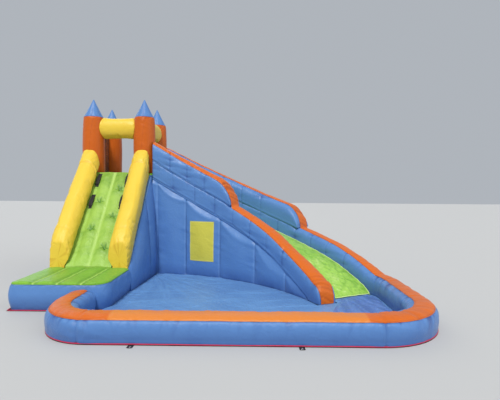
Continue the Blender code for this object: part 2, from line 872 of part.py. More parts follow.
def make_splash_mat():
    """A darker sheet that spreads from the end of the lane to the rim's front."""
    left, front, right = rim_stations()
    step = 4 * seam_gap / slide_length
    inset = -(rim_width / 2 * foot_share + mat_inset)
    near = slide_point(lane_inner_radius + mat_inset, 1 + step)
    far = slide_point(lane_outer_radius - mat_inset, 1 + step)
    side = foot_line(right[:-1], inset)[::-1]
    toe = slide_point(lane_inner_radius + mat_inset, 1 + nose_length / slide_length)
    points = [tuple(near.xy), tuple(far.xy)] + side
    points += [(toe.x - mat_spread, side[-1][1]), tuple(toe.xy)]
    low = bed_height + floor_thickness + seam_gap
    solid("splash_mat", plate(points, low, low + mat_thickness), "mat_blue")


def slope_height(y):
    """Height of the climbing surface over a place on the ground."""
    return platform_height + climb_rise * (y - climb_foot_y) / climb_run


def climb_section(y, inset=0.0):
    """Section of the climbing block at a place on the ground."""
    low, high = bed_height + inset, slope_height(y) - ramp_drop - 2 * inset
    right = [Vector((side_reach(y, flare, rise) - inset, y, low + (high - low) * rise))
             for flare, rise in flare_shares]
    return [Vector((-p.x, p.y, p.z)) for p in right[::-1]] + right


def climb_port():
    """The opening that lets air from the tower into the climbing block."""
    return drum(air_port_radius, 4 * chamber_wall,
                (tower_half_width / 4, tower_front_y, tower_top / 2), "Y", 10)


def make_climb_body():
    """The hollow wedge under the climbing wall, its sides sewn in two panels."""
    seam_y = climb_foot_y + climb_run * side_seam_share
    places = evenly(climb_foot_y, seam_y, 4) + evenly(seam_y, climb_back_y, 2)[1:]
    body = solid("climb_body", loft([climb_section(y) for y in places]), "blue_fabric")
    places[0] += chamber_wall
    places[-1] -= chamber_wall
    cut(body, "air_space", loft([climb_section(y, chamber_wall) for y in places]))
    cut(body, "air_port", climb_port())


def ramp_swell(x, along):
    """How far the quilted ramp swells over its edge: two channels, with sewn tufts."""
    if not ramp_swell_start < abs(x) < ramp_swell_end:
        return 0.0
    span = ramp_swell_end - ramp_swell_start
    swell = ramp_crown * math.sin(math.pi * (abs(x) - ramp_swell_start) / span)
    for side, share in ramp_tuft_shares:
        off = math.hypot(x - side * (ramp_swell_start + span / 2), along - climb_length * share)
        swell -= tuft_depth * max(1 - off / tuft_radius, 0.0)
    return swell


def make_ramp():
    half = [ramp_swell_start + (ramp_swell_end - ramp_swell_start) * k / 4 for k in range(5)]
    half.append(ramp_half_width - seam_gap)
    xs = [-x for x in half[::-1]] + half
    places = [0.0, 1.0]
    for side, share in ramp_tuft_shares:
        reach = tuft_radius / climb_length
        places += [share - reach, share, share + reach]
    rings = []
    for share in sorted(places):
        y = climb_foot_y + (climb_back_y - climb_foot_y) * share
        surface = slope_height(y)
        low = surface - ramp_thickness / math.cos(climb_angle)
        top = [Vector((x, y, surface + ramp_swell(x, climb_length * share) / math.cos(climb_angle)))
               for x in xs]
        rings.append([Vector((xs[0], y, low))] + top + [Vector((xs[-1], y, low))])
    solid("climb_ramp", loft(rings), "green_fabric")


def make_rails():
    """Two boxy tubes up the sides of the climbing wall, upright at both ends.

    The side of each that faces the ramp swells out over the ramp's edge.
    """
    half_width = rail_width / 2 - seam_gap
    lift = seam_gap / math.cos(climb_angle)
    for name, side in (("rail_left", -1), ("rail_right", 1)):
        rings = []
        for y, inset in ((climb_foot_y, rail_end_radius / 3), (climb_foot_y + rail_end_radius, 0),
                         (climb_foot_y + climb_run / 2, 0), (climb_back_y, 0)):
            low = slope_height(y) - ramp_drop + lift
            high = slope_height(y) + rail_height - inset
            middle, reach = (low + high) / 2, (high - low) / 2
            ring = []
            for k, (u, v) in enumerate(tube_section()):
                lean = rail_lean * rail_lean_shares[k] if k < len(rail_lean_shares) else 0
                ring.append(Vector((side * (rail_spread - (half_width - inset) * u - lean), y,
                                    middle + reach * v)))
            rings.append(ring)
        solid(name, loft(rings), "yellow_fabric")


def on_slope(x, along, out):
    """A point by its distance up the climbing surface and its height off it."""
    normal = Vector((0, -math.sin(climb_angle), math.cos(climb_angle)))
    up = Vector((0, math.cos(climb_angle), math.sin(climb_angle)))
    return Vector((x, climb_foot_y, platform_height)) + up * along + normal * out


def handle_rings(x, middle):
    """Sections of a webbing handle that arches between two feet sewn to the ramp."""
    half = handle_length / 2
    reach = half - handle_foot
    path = [(-half, 0), (-reach, 0)]
    path += [(-reach * math.cos(a), handle_rise * math.sin(a)) for a in evenly(0, math.pi, 8)[1:-1]]
    path += [(reach, 0), (half, 0)]
    rings = []
    for k, (along, rise) in enumerate(path):
        before, after = path[max(k - 1, 0)], path[min(k + 1, len(path) - 1)]
        run = Vector((after[0] - before[0], after[1] - before[1])).normalized()
        under = (middle + along, rise + seam_gap)
        over = (under[0] - run.y * handle_thickness, under[1] + run.x * handle_thickness)
        sides = (x - handle_width / 2, x + handle_width / 2)
        rings.append([on_slope(sides[0], *under), on_slope(sides[1], *under),
                      on_slope(sides[1], *over), on_slope(sides[0], *over)])
    return rings


def make_handles():
    for side, right in (("left", -1), ("right", 1)):
        for level, share in zip(("low", "high"), handle_shares):
            rings = handle_rings(right * handle_spread, climb_length * share)
            solid(f"handle_{side}_{level}", loft(rings), "black_webbing")


def corner_inset(x, half_x, radius):
    """How far a round corner draws an edge in, at a distance across."""
    over = abs(x) - (half_x - radius)
    return radius - math.sqrt(max(radius**2 - over**2, 0.0)) if over > 0 else 0.0


def make_channel_pad(name, half_x, ends, low, high, crown, channels, radii):
    """A pad sewn into channels that run front to back, with round corners.

    The radii are those of the left and right corners in front and at the back.
    """
    rings = []
    steps = channels * 4
    for k in range(steps + 1):
        x = half_x * (2 * k / steps - 1)
        height = high - low - crown * (1 - abs(math.sin(math.pi * channels * k / steps)))
        front = ends[0] + corner_inset(x, half_x, radii[0][x > 0])
        back = ends[1] - corner_inset(x, half_x, radii[1][x > 0])
        over = [(front + crown * out, low + height * rise) for out, rise in pad_edge_shares]
        over += [(back - crown * out, low + height * rise) for out, rise in pad_edge_shares[::-1]]
        rings.append([Vector((x, y, z)) for y, z in [(back, low), (front, low)] + over])
    solid(name, loft(rings), "green_fabric")


def make_platform():
    """The low step in front of the climbing wall, with a channelled top."""
    body_top = platform_height - platform_top_thickness - seam_gap
    rings = []
    for swell, rise in swell_shares:
        height = bed_height + (body_top - bed_height) * rise
        rings.append([Vector((x, y, height)) for x, y in platform_outline(platform_bulge * swell)])
    solid("platform_body", loft(rings), "blue_fabric")
    radii = ((platform_left_radius, platform_right_radius), (0, 0))
    make_channel_pad("platform_top", platform_half_width, (platform_front_y, climb_foot_y - seam_gap),
                     body_top + seam_gap, platform_height, platform_crown, platform_channels, radii)


def tower_outline(inset):
    half_x, half_y = tower_half_width - inset, tower_half_depth - inset
    radius = tower_corner_radius - inset
    points = []
    for turn, (right, back) in enumerate(((1, 1), (-1, 1), (-1, -1), (1, -1))):
        points += arc_points(right * (half_x - radius), back * (half_y - radius), radius,
                             turn * math.pi / 2, 3)
    return points


def make_tower():
    """The hollow tower envelope with its air port, its baffles and the deck."""
    body = solid("tower_body", plate(tower_outline(0), bed_height, tower_top), "blue_fabric")
    hollow = plate(tower_outline(envelope_wall), bed_height + envelope_wall,
                   tower_top - envelope_wall)
    cut(body, "tower_hollow", hollow)
    wide, tall = outlet_half_width + outlet_wall, outlet_half_height + outlet_wall
    port = box((-wide, tower_half_depth - cut_overrun, outlet_height - tall),
               (wide, tower_half_depth + cut_overrun, outlet_height + tall))
    cut(body, "tower_port", port)
    cut(body, "slide_port", slide_port(0.0))
    cut(body, "climb_port", climb_port())
    radii = ((tower_corner_radius, tower_corner_radius),) * 2
    make_channel_pad("deck_pad", tower_half_width, (tower_front_y, tower_half_depth),
                     tower_top + seam_gap, deck_height, deck_crown, deck_channels, radii)


def make_baffles():
    """Fabric webs that tie the walls of the tower together, with holes that pass air."""
    depth = tower_half_depth - envelope_wall - seam_gap
    width = tower_half_width - envelope_wall - seam_gap
    low, high = bed_height + baffle_margin, tower_top - baffle_margin
    half = baffle_thickness / 2
    baffles = solid("tower_baffles", box((-width, -half, low), (width, half, high)), "blue_fabric")
    webs, holes = bmesh.new(), bmesh.new()
    for share in evenly(-1, 1, baffle_count + 1)[1:-1]:
        x = tower_half_width * share
        box((x - half, -depth, low), (x + half, depth, high), webs)
        for y in (-depth / 2, depth / 2):
            drum(baffle_hole_radius, baffle_thickness + cut_overrun, (x, y, (low + high) / 2),
                 "X", 10, shape=holes)
    cut(baffles, "baffle_webs", webs, "UNION")
    cut(baffles, "baffle_holes", holes)


def make_posts():
    post = mesh_of("post", turned([(post_radius * r, post_height * h) for r, h in post_shares], 16))
    spire = mesh_of("spire", turned([(spire_radius * r, spire_height * h)
                                     for r, h in spire_shares], 16))
    for name, right, back in (("front_left", -1, -1), ("front_right", 1, -1),
                              ("back_left", -1, 1), ("back_right", 1, 1)):
        x, y = right * post_spread, back * post_spread
        place("post_" + name, post, "orange_fabric", (x, y, post_foot))
        place("spire_" + name, spire, "blue_fabric", (x, y, post_top + seam_gap))


def make_beams():
    """Beams over the climbing side and over the slide, shaped to the posts that they join."""
    middle = post_top - beam_drop - beam_half_height
    reach = post_radius + 2 * seam_gap
    for name, along, aside in (("beam_front", Vector((1, 0, 0)), Vector((0, -1, 0))),
                               ("beam_right", Vector((0, 1, 0)), Vector((1, 0, 0)))):
        rings = []
        for out in evenly(-post_spread, post_spread, 4):
            spot = aside * post_spread + along * out + Vector((0, 0, middle))
            rings.append([spot + aside * beam_half_depth * math.cos(a)
                          + Vector((0, 0, beam_half_height * math.sin(a)))
                          for a in circle_angles(16)])
        beam = solid(name, loft(rings), "yellow_fabric")
        posts = bmesh.new()
        for end in (-1, 1):
            spot = (aside + along * end) * post_spread + Vector((0, 0, post_foot))
            turned([(reach * r, post_height * h) for r, h in post_shares], 16, spot, posts)
        cut(beam, name + "_seats", posts)


def make_net():
    """The safety net between the posts on the closed side."""
    width = 2 * (post_spread - post_radius - seam_gap)
    sheet = bmesh.new()
    bmesh.ops.create_grid(sheet, x_segments=net_columns, y_segments=net_rows, size=1)
    bmesh.ops.transform(sheet, matrix=Matrix.Diagonal((width / 2, net_height / 2, 1, 1)),
                        verts=sheet.verts)
    cells = list(sheet.faces)
    bmesh.ops.inset_individual(sheet, faces=cells, thickness=net_strand_width / 2)
    bmesh.ops.delete(sheet, geom=cells, context="FACES")
    spot = (-post_spread, 0, post_foot + seam_gap + net_height / 2)
    net = place("net_left", mesh_of("net_left", sheet), "black_webbing", spot,
                (math.pi / 2, 0, math.pi / 2))
    strands = net.modifiers.new("strands", "SOLIDIFY")
    strands.thickness = net_thickness
    strands.offset = 0


def make_zip():
    """The zip that lets the air out, with a slider that runs along its teeth."""
    face = tower_half_depth + seam_gap
    left, right = zip_centre_x - zip_length / 2, zip_centre_x + zip_length / 2
    tape = solid("zip_tape", box((left, face, zip_centre_z - zip_width / 2),
                                 (right, face + zip_thickness, zip_centre_z + zip_width / 2)),
                 "black_webbing")
    teeth = box((left, face + zip_thickness / 2, zip_centre_z - zip_teeth_width / 2),
                (right, face + zip_thickness + zip_teeth_height, zip_centre_z + zip_teeth_width / 2))
    cut(tape, "zip_teeth", teeth, "UNION")
    slider = solid("zip_slider", box((0, slider_gap, -slider_width / 2),
                                     (slider_length, slider_height, slider_width / 2)),
                   "steel", (left, face + zip_thickness, zip_centre_z))
    channel = zip_teeth_width / 2 + slider_gap
    cut(slider, "slider_channel", box((-cut_overrun, -cut_overrun, -channel),
                                      (slider_length + cut_overrun,
                                       zip_teeth_height + slider_gap, channel)))
    middle = slider_length / 2
    pull = box((middle - pull_width / 2, slider_height - pull_thickness,
                -slider_width / 2 - pull_length),
               (middle + pull_width / 2, slider_height + pull_thickness / 2, 0))
    cut(slider, "slider_pull", pull, "UNION")


def outlet_box(grow, front, back):
    """The outside of the blower's duct, grown all round, between two places along Y."""
    wide, tall = outlet_half_width + outlet_wall + grow, outlet_half_height + outlet_wall + grow
    return box((-wide, front, outlet_height - tall), (wide, back, outlet_height + tall))


def make_sleeve():
    """The fabric sleeve from the tower's port to the blower, and the strap that ties it."""
    front = tower_half_depth + seam_gap
    back = blower_y - drum_radius - sleeve_end_gap
    sleeve = solid("inflation_sleeve", outlet_box(sleeve_clearance + sleeve_wall, front, back),
                   "blue_fabric")
    cut(sleeve, "sleeve_bore", outlet_box(sleeve_clearance, front - cut_overrun, back + cut_overrun))
    seat = sleeve_clearance + sleeve_wall + seam_gap
    strap_y = back - strap_setback
    strap = solid("sleeve_strap", outlet_box(seat + strap_thickness, strap_y, strap_y + strap_width),
                  "black_webbing")
    cut(strap, "strap_hole", outlet_box(seat, strap_y - cut_overrun,
                                        strap_y + strap_width + cut_overrun))


def drum_seat():
    """A tool as large as the blower's drum, with the gap that pieces on it keep."""
    return drum(drum_radius + 2 * seam_gap, 2 * drum_half_width + 2 * cut_overrun,
                (0, 0, 0), "X", 32)


def make_shells(centre):
    """The two halves of the drum, each with its opening, and the mouth cut across both."""
    for name, side, hole in (("blower_shell_left", -1, shell_shaft_hole_radius),
                             ("blower_shell_right", 1, intake_radius)):
        low, high = seam_gap / 2, drum_half_width
        shell = solid(name, drum(drum_radius, high - low, (side * (low + high) / 2, 0, 0), "X", 32),
                      "grey_plastic", centre)
        depth = drum_half_width - drum_wall + cut_overrun
        cut(shell, name + "_inside", drum(drum_radius - drum_wall, depth,
                                          (side * (depth / 2 - cut_overrun), 0, 0), "X", 32))
        cut(shell, name + "_opening", drum(hole, 2 * cut_overrun,
                                           (side * drum_half_width, 0, 0), "X", 20))
        drop = outlet_height - drum_height
        cut(shell, name + "_mouth", box((-outlet_half_width, -drum_radius - cut_overrun,
                                         drop - outlet_half_height),
                                        (outlet_half_width, -drum_radius / 2,
                                         drop + outlet_half_height)))


def make_outlet(centre):
    """The square duct that blows into the sleeve."""
    front = -drum_radius - outlet_length
    drop = outlet_height - drum_height
    wide, tall = outlet_half_width + outlet_wall, outlet_half_height + outlet_wall
    duct = solid("blower_outlet", box((-wide, front, drop - tall), (wide, -drum_radius / 2, drop + tall)),
                 "grey_plastic", centre)
    cut(duct, "outlet_bore", box((-outlet_half_width, front - cut_overrun, drop - outlet_half_height),
                                 (outlet_half_width, 0, drop + outlet_half_height)))
    cut(duct, "outlet_seat", drum_seat())


def make_stand(centre):
    """A moulded saddle under the drum, cut round the duct, with four feet."""
    low, high = stand_lift - drum_height, stand_height - drum_height
    stand = solid("blower_stand", box((-stand_half_width, -stand_half_length, low),
                                      (stand_half_width, stand_half_length, high)),
                  "black_plastic", centre)
    cut(stand, "stand_seat", drum_seat())
    wide = outlet_half_width + outlet_wall + 2 * seam_gap
    drop = outlet_height - drum_height - outlet_half_height - outlet_wall - 2 * seam_gap
    cut(stand, "stand_duct_way", box((-wide, -stand_half_length - cut_overrun, drop),
                                     (wide, -drum_radius / 4, high + cut_overrun)))
    feet = bmesh.new()
    height = stand_lift + foot_radius / 2
    for x in (-1, 1):
        for y in (-1, 1):
            spot = (x * (stand_half_width - foot_inset), y * (stand_half_length - foot_inset),
                    height / 2 - drum_height)
            drum(foot_radius, height, spot, "Z", 10, shape=feet)
    cut(stand, "stand_feet", feet, "UNION")


def make_impeller(centre):
    """A squirrel cage: centre plate, blades and two end rings, on a hub."""
    wheel = solid("impeller", drum(impeller_radius, impeller_plate, (0, 0, 0), "X", 20),
                  "black_plastic", centre)
    blades = bmesh.new()
    reach = impeller_half_width - impeller_ring_width / 2
    for k in range(impeller_blades):
        blade = box((-reach, -blade_thickness / 2, impeller_radius - blade_length),
                    (reach, blade_thickness / 2, impeller_radius - blade_thickness))
        blade.transform(Matrix.Rotation(2 * math.pi * k / impeller_blades, 4, "X"))
        mesh = bpy.data.meshes.new("blade")
        blade.to_mesh(mesh)
        blades.from_mesh(mesh)
        bpy.data.meshes.remove(mesh)
    cut(wheel, "impeller_blades", blades, "UNION")
    for name, side in (("impeller_ring_left", -1), ("impeller_ring_right", 1)):
        inner = side * (impeller_half_width - impeller_ring_width)
        ring = flat_ring(inner, side * impeller_half_width,
                         impeller_radius - impeller_ring_depth, impeller_radius, 20)
        cut(wheel, name, ring, "UNION")
    cut(wheel, "impeller_hub", drum(hub_radius, hub_length, (-hub_length / 4, 0, 0), "X", 12),
        "UNION")
    cut(wheel, "impeller_bore", drum(shaft_radius + seam_gap, 2 * hub_length + cut_overrun,
                                     (0, 0, 0), "X", 12))
    low, high = -drum_half_width - shaft_in_motor, hub_length / 4
    solid("motor_shaft", drum(shaft_radius, high - low, ((low + high) / 2, 0, 0), "X", 12),
          "steel", centre)


def make_motor(centre):
    """The motor, bolted to the left shell, its shaft through to the impeller."""
    near = drum_half_width + seam_gap
    motor = solid("motor", drum(motor_radius, motor_length, (-near - motor_length / 2, 0, 0), "X"),
                  "black_plastic", centre)
    cut(motor, "motor_flange", drum(motor_radius + motor_rim, motor_rim,
                                    (-near - motor_rim / 2, 0, 0), "X"), "UNION")
    depth = shaft_in_motor + shaft_clearance + cut_overrun
    cut(motor, "motor_bore", drum(shaft_radius + shaft_clearance, depth,
                                  (-near - depth / 2 + cut_overrun, 0, 0), "X", 12))


def make_grille(centre):
    """The intake grille on the right shell."""
    near = drum_half_width + seam_gap
    far = near + grille_thickness
    grille = solid("intake_grille", flat_ring(near, far, intake_radius - grille_bar,
                                              intake_radius + grille_rim, 20), "steel", centre)
    bars = bmesh.new()
    for share in evenly(-1, 1, grille_bars + 1)[1:-1]:
        offset = intake_radius * share
        half = math.sqrt(intake_radius**2 - offset**2)
        box((near, offset - grille_bar / 2, -half), (far, offset + grille_bar / 2, half), bars)
    cut(grille, "grille_bars", bars, "UNION")


def make_grip(centre):
    """The carrying grip on top of the drum."""
    path = [Vector((0, y * grip_half_length, drum_radius - grip_radius + z * grip_height))
            for y, z in grip_shares]
    rings = []
    for k, spot in enumerate(path):
        run = (path[min(k + 1, len(path) - 1)] - path[max(k - 1, 0)]).normalized()
        side = Vector((1, 0, 0))
        up = side.cross(run)
        rings.append([spot + side * grip_radius * math.cos(a) + up * grip_radius * math.sin(a)
                      for a in circle_angles(8)])
    rings[0] = [Vector((p.x, p.y, 0)) for p in rings[0]]
    rings[-1] = [Vector((p.x, p.y, 0)) for p in rings[-1]]
    grip = solid("blower_grip", loft(rings), "black_plastic", centre)
    cut(grip, "grip_seat", drum_seat())


def make_switch(centre):
    """A switch box on the back of the drum, its cable gland, and its rocker on top."""
    high, end = switch_height / 2, drum_radius - switch_sink + switch_length
    case = solid("switch_box", box((-switch_width / 2, drum_radius - switch_sink, -high),
                                   (switch_width / 2, end, high)), "black_plastic", centre)
    gland = solid("cable_gland", drum(gland_radius, gland_length,
                                      (0, end + seam_gap + gland_length / 2, 0), "Y", 14,
                                      gland_tip_radius), "black_plastic", centre)
    bore_middle = end + seam_gap + gland_length + (cut_overrun - gland_bore_depth) / 2
    cut(gland, "gland_bore", drum(gland_bore_radius, gland_bore_depth + cut_overrun,
                                  (0, bore_middle, 0), "Y", 10))
    cut(case, "switch_seat", drum_seat())
    middle = (drum_radius + end) / 2
    long_half, wide_half = rocker_length / 2 + 2 * rocker_gap, rocker_width / 2 + rocker_gap
    cut(case, "switch_well", box((-wide_half, middle - long_half, high - rocker_well_depth),
                                 (wide_half, middle + long_half, high + cut_overrun)))
    rings = [[Vector((x, u * rocker_length, v * (rocker_depth + rocker_proud) - rocker_depth))
              for u, v in rocker_shares] for x in (-rocker_width / 2, rocker_width / 2)]
    solid("rocker", loft(rings), "orange_fabric", centre + Vector((0, middle, high)))


def make_blower():
    """Centrifugal blower: split drum, duct, stand, impeller, motor, grille, grip and switch."""
    centre = Vector((0, blower_y, drum_height))
    for make in (make_shells, make_outlet, make_stand, make_impeller, make_motor, make_grille,
                 make_grip, make_switch):
        make(centre)


clear_scene()
make_materials()
make_sheet_and_piping()
make_pool_floor()
make_splash_mat()
make_rim()
make_platform()
make_climb_body()
make_ramp()
make_rails()
make_handles()
make_tower()
make_baffles()
make_posts()
make_beams()
make_net()
make_blocks()
make_lane()
make_guards()
make_patch()
make_zip()
make_sleeve()
make_blower()
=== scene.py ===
"""Looks of the inflatable water slide: sewn, air-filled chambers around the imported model."""

import math

import bmesh
import bpy
import numpy as np
from mathutils import Matrix, Vector
from mathutils.geometry import delaunay_2d_cdt


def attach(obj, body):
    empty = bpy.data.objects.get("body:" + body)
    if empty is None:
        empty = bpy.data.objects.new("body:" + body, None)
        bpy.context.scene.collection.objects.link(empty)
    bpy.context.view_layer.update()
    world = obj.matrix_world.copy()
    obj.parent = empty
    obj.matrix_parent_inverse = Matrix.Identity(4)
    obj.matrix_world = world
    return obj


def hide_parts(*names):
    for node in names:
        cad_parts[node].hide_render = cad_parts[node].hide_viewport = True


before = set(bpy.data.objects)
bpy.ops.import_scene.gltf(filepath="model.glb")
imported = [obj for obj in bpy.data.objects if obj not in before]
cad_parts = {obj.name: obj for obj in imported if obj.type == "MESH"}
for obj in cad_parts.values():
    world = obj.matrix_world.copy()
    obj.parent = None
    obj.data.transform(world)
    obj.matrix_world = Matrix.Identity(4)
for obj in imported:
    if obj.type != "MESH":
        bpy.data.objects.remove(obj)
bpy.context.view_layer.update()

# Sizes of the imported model, in metres, that the looks are built on
seam_gap = 0.0004
lay_gap = 0.0009
sheet_thickness = 0.003
bed_height = sheet_thickness + seam_gap
sheet_lip = 0.018
floor_gap = 0.004
piping_radius = 0.005

tower_half_width = 0.565
tower_half_depth = 0.57
tower_corner = 0.06
deck_height = 1.57
deck_thickness = 0.04
deck_crown = 0.01
tower_top = deck_height - deck_thickness - seam_gap
tower_front_y = -tower_half_depth

post_spread = 0.4
post_radius = 0.163
post_height = 0.862
post_foot = deck_height + seam_gap
post_top = post_foot + post_height
spire_radius = 0.143
spire_height = 0.275
beam_half_height = 0.163
beam_half_depth = 0.108
beam_height = post_top - 0.006 - beam_half_height
net_height = 0.66

climb_foot_y = -1.58
climb_back_y = tower_front_y - seam_gap
climb_run = tower_front_y - climb_foot_y
platform_height = 0.32
climb_rise = deck_height - platform_height
climb_angle = math.atan2(climb_rise, climb_run)
climb_length = math.hypot(climb_run, climb_rise)
rail_spread = 0.407
rail_width = 0.22
rail_height = 0.345
rail_lean = 0.052
ramp_half_width = rail_spread - rail_width / 2
ramp_thickness = 0.04
ramp_drop = (ramp_thickness + seam_gap) / math.cos(climb_angle)
ramp_crown = 0.02
ramp_swell_start = 0.02
ramp_swell_end = ramp_half_width - 0.103
side_seam_share = 0.73
ramp_tufts = ((1, 0.187), (-1, 0.368), (1, 0.501), (-1, 0.66), (1, 0.802))
handle_spread = 0.217
handle_length = 0.25
handle_foot = 0.035
handle_rise = 0.05
handle_width = 0.045
handle_shares = (0.65, 0.9)

platform_front_y = -2.39
platform_half_width = 0.525
platform_top_thickness = 0.035
platform_bulge = 0.022
platform_corners = (0.07, 0.18)

slide_radius = 3.05
slide_turn = math.radians(65)
slide_length = slide_radius * slide_turn
lane_half = 0.3
lane_thickness = 0.07
guard_width = 0.27
guard_rise = 0.195
upper_guard_height = 0.285
nose_length = 0.125
rim_width = 0.31
rim_height = 0.24
foot_half = rim_width / 2 * 0.86
lane_inner_radius = slide_radius - lane_half
lane_outer_radius = slide_radius + lane_half
inner_guard_radius = lane_inner_radius - guard_width / 2
outer_guard_radius = lane_outer_radius + rim_width / 2
near_wall_radius = inner_guard_radius - guard_width / 2
wall_recess = 0.05
wall_bulge = 0.045
far_wall_radius = outer_guard_radius + rim_width / 2 - wall_recess
far_foot_radius = outer_guard_radius + foot_half
panel_seams = (0.03, 0.188, 0.388, 0.605, 0.805, 0.965)
slide_start_x = tower_half_width + seam_gap
slide_centre_y = (tower_front_y + seam_gap
                  - near_wall_radius * math.cos(slide_turn * panel_seams[0]))
inner_upper_share = 0.45
outer_upper_share = 0.64
lane_inner_shares = (1.0, 0.825, 0.672, 0.525, 0.37, 0.19, 0.035)
lane_outer_shares = (1.0, 0.8, 0.615, 0.455, 0.325, 0.2, 0.035)

rim_front_y = -3.135
rim_left_x = 0.28
rim_left_radius = 0.4
rim_right_radius = 0.58
rim_blend_radius = 0.7

zip_x = -0.3
zip_height = 0.42
zip_reach = 0.17
blower_y = 1.02
drum_radius = 0.165
drum_half_width = 0.095
drum_height = 0.205
outlet_height = 0.112

tube_shares = ((0.0, -1.0), (0.86, -1.0), (0.97, -0.6), (1.0, -0.12), (0.95, 0.36),
               (0.79, 0.72), (0.44, 0.94), (0.0, 1.0))
crest = len(tube_shares) - 1
steps_per_share = 6
pressed_shares = ((0.0, -1.0), (0.93, -1.0), (0.99, -0.66), (1.0, -0.12), (0.985, 0.44),
                  (0.93, 0.82), (0.72, 0.985), (0.0, 1.0))
strip_columns = {True: ((crest - 2) * steps_per_share, (crest + 2) * steps_per_share),
                 False: ((crest - 2) * steps_per_share, (crest + 1) * steps_per_share)}
guard_seams = {True: ((0.13, 0.27, 0.4, 0.52, 0.64, 0.76, 0.88), (0.11, 0.22, 0.33)),
               False: ((0.1, 0.2, 0.3, 0.4, 0.5, 0.59, 0.68, 0.76, 0.84, 0.93),
                       (0.1, 0.2, 0.3, 0.4, 0.5))}


# Smooth random surfaces


def scatter(cells, seed):
    """Repeatable random values between 0 and 1 for whole-number cells."""
    mixed = (cells.astype(np.int64) * 374761393 + seed * 668265263) & 0xFFFFFFFF
    mixed = ((mixed ^ (mixed >> 13)) * 1274126177) & 0xFFFFFFFF
    return ((mixed ^ (mixed >> 16)) & 0xFFFF) / 65535.0


def bell(x, width):
    """1 at zero, falling to zero on both sides."""
    return np.exp(-(x / width) ** 2)


def lumps(points, size, seed):
    """Smooth random rises and falls between -1 and 1, about as wide as size."""
    spot = np.asarray(points, float) / size + seed * 7.31
    cell = np.floor(spot).astype(np.int64)
    t = spot - cell
    t = t * t * (3 - 2 * t)
    total = 0.0
    for x in (0, 1):
        for y in (0, 1):
            for z in (0, 1):
                key = ((cell[..., 0] + x) * 73856093 ^ (cell[..., 1] + y) * 19349663
                       ^ (cell[..., 2] + z) * 83492791)
                share = [np.where(end, t[..., k], 1 - t[..., k]) for k, end in enumerate((x, y, z))]
                total = total + share[0] * share[1] * share[2] * scatter(key, seed)
    return total * 2 - 1


def creases(points, size, seed):
    """Sharp little ridges between 0 and 1, as in crumpled cloth."""
    first = 1 - np.abs(lumps(points, size, seed)) * 2
    second = 1 - np.abs(lumps(points, size * 0.53, seed + 3)) * 2
    return np.clip(first, 0, 1) ** 2 * 0.65 + np.clip(second, 0, 1) ** 2 * 0.35


def folds(off, run, points, wave, reach, seed):
    """Folds that leave a seam squarely and die away, by distance from it and along it."""
    x = (run + 0.3 * off + 0.014 * lumps(points, 0.1, seed)) / wave
    cell = np.floor(x).astype(np.int64)
    t = x - cell
    t = t * t * (3 - 2 * t)
    rise = (1 - t) * scatter(cell, seed) + t * scatter(cell + 1, seed)
    length = reach * (0.35 + 1.3 * ((1 - t) * scatter(cell, seed + 5)
                                    + t * scatter(cell + 1, seed + 5)))
    return (rise - 0.5) * 2 * np.exp(-np.abs(off) / length)


def pinched(off, run, points, wave, reach, seed):
    """Marks in the troughs of the folds beside a seam."""
    return np.clip(-folds(off, run, points, wave, reach, seed) - 0.22, 0, 1)


def seam(off, run, points, depth, width, rise, wave, reach, seed):
    """The valley of a sewn seam with the folds beside it."""
    beside = 1 - bell(off, 0.006)
    return -depth * bell(off, width) + rise * folds(off, run, points, wave, reach, seed) * beside


def ease(x):
    """Rises smoothly from 0 to 1 while its value does."""
    x = np.clip(x, 0, 1)
    return x * x * (3 - 2 * x)


def smooth_share(table, share):
    """Reads a table of evenly spaced values along a smooth curve through them."""
    table = np.asarray(table, float)
    last = len(table) - 1
    spot = np.clip(share, 0, 1) * last
    k = np.minimum(spot.astype(int), last - 1)
    t = spot - k
    slopes = np.gradient(table)
    return ((2 * t**3 - 3 * t**2 + 1) * table[k] + (t**3 - 2 * t**2 + t) * slopes[k]
            + (3 * t**2 - 2 * t**3) * table[k + 1] + (t**3 - t**2) * slopes[k + 1])


def smooth_line(points, steps, closed=False):
    """A smooth run of points through a few, with the same number of steps between each two."""
    points = np.asarray(points, float)
    if closed:
        ring = np.vstack([points[-1:], points, points[:2]])
    else:
        ring = np.vstack([2 * points[:1] - points[1:2], points, 2 * points[-1:] - points[-2:-1]])
    t = np.arange(steps)[:, None] / steps
    found = []
    for a, b, c, d in zip(ring, ring[1:], ring[2:], ring[3:]):
        found.append(0.5 * (2 * b + (c - a) * t + (2 * a - 5 * b + 4 * c - d) * t**2
                            + (3 * b - a - 3 * c + d) * t**3))
    line = np.vstack(found)
    return line if closed else np.vstack([line, points[-1:]])


def fine_loop(loop, step):
    """A closed loop of flat points, filled up to places about a step apart."""
    loop, fine = np.asarray(loop, float), []
    for a, b in zip(loop, np.roll(loop, -1, 0)):
        count = max(1, int(round(np.hypot(*(b - a)) / step)))
        fine += [a + (b - a) * k / count for k in range(count)]
    return np.array(fine)


def rounded_loop(half_x, half_y, radius, steps):
    """Corner points of a rounded rectangle round the origin."""
    return np.array([(x * (half_x - radius) + radius * math.cos(a),
                      y * (half_y - radius) + radius * math.sin(a))
                     for turn, (x, y) in enumerate(((1, 1), (-1, 1), (-1, -1), (1, -1)))
                     for a in np.linspace(turn * math.pi / 2, (turn + 1) * math.pi / 2, steps)])


def circle(radius, count):
    """Flat points of a circle round the origin."""
    a = np.linspace(0, 2 * math.pi, count + 1)[:-1]
    return radius * np.column_stack([np.cos(a), np.sin(a)])


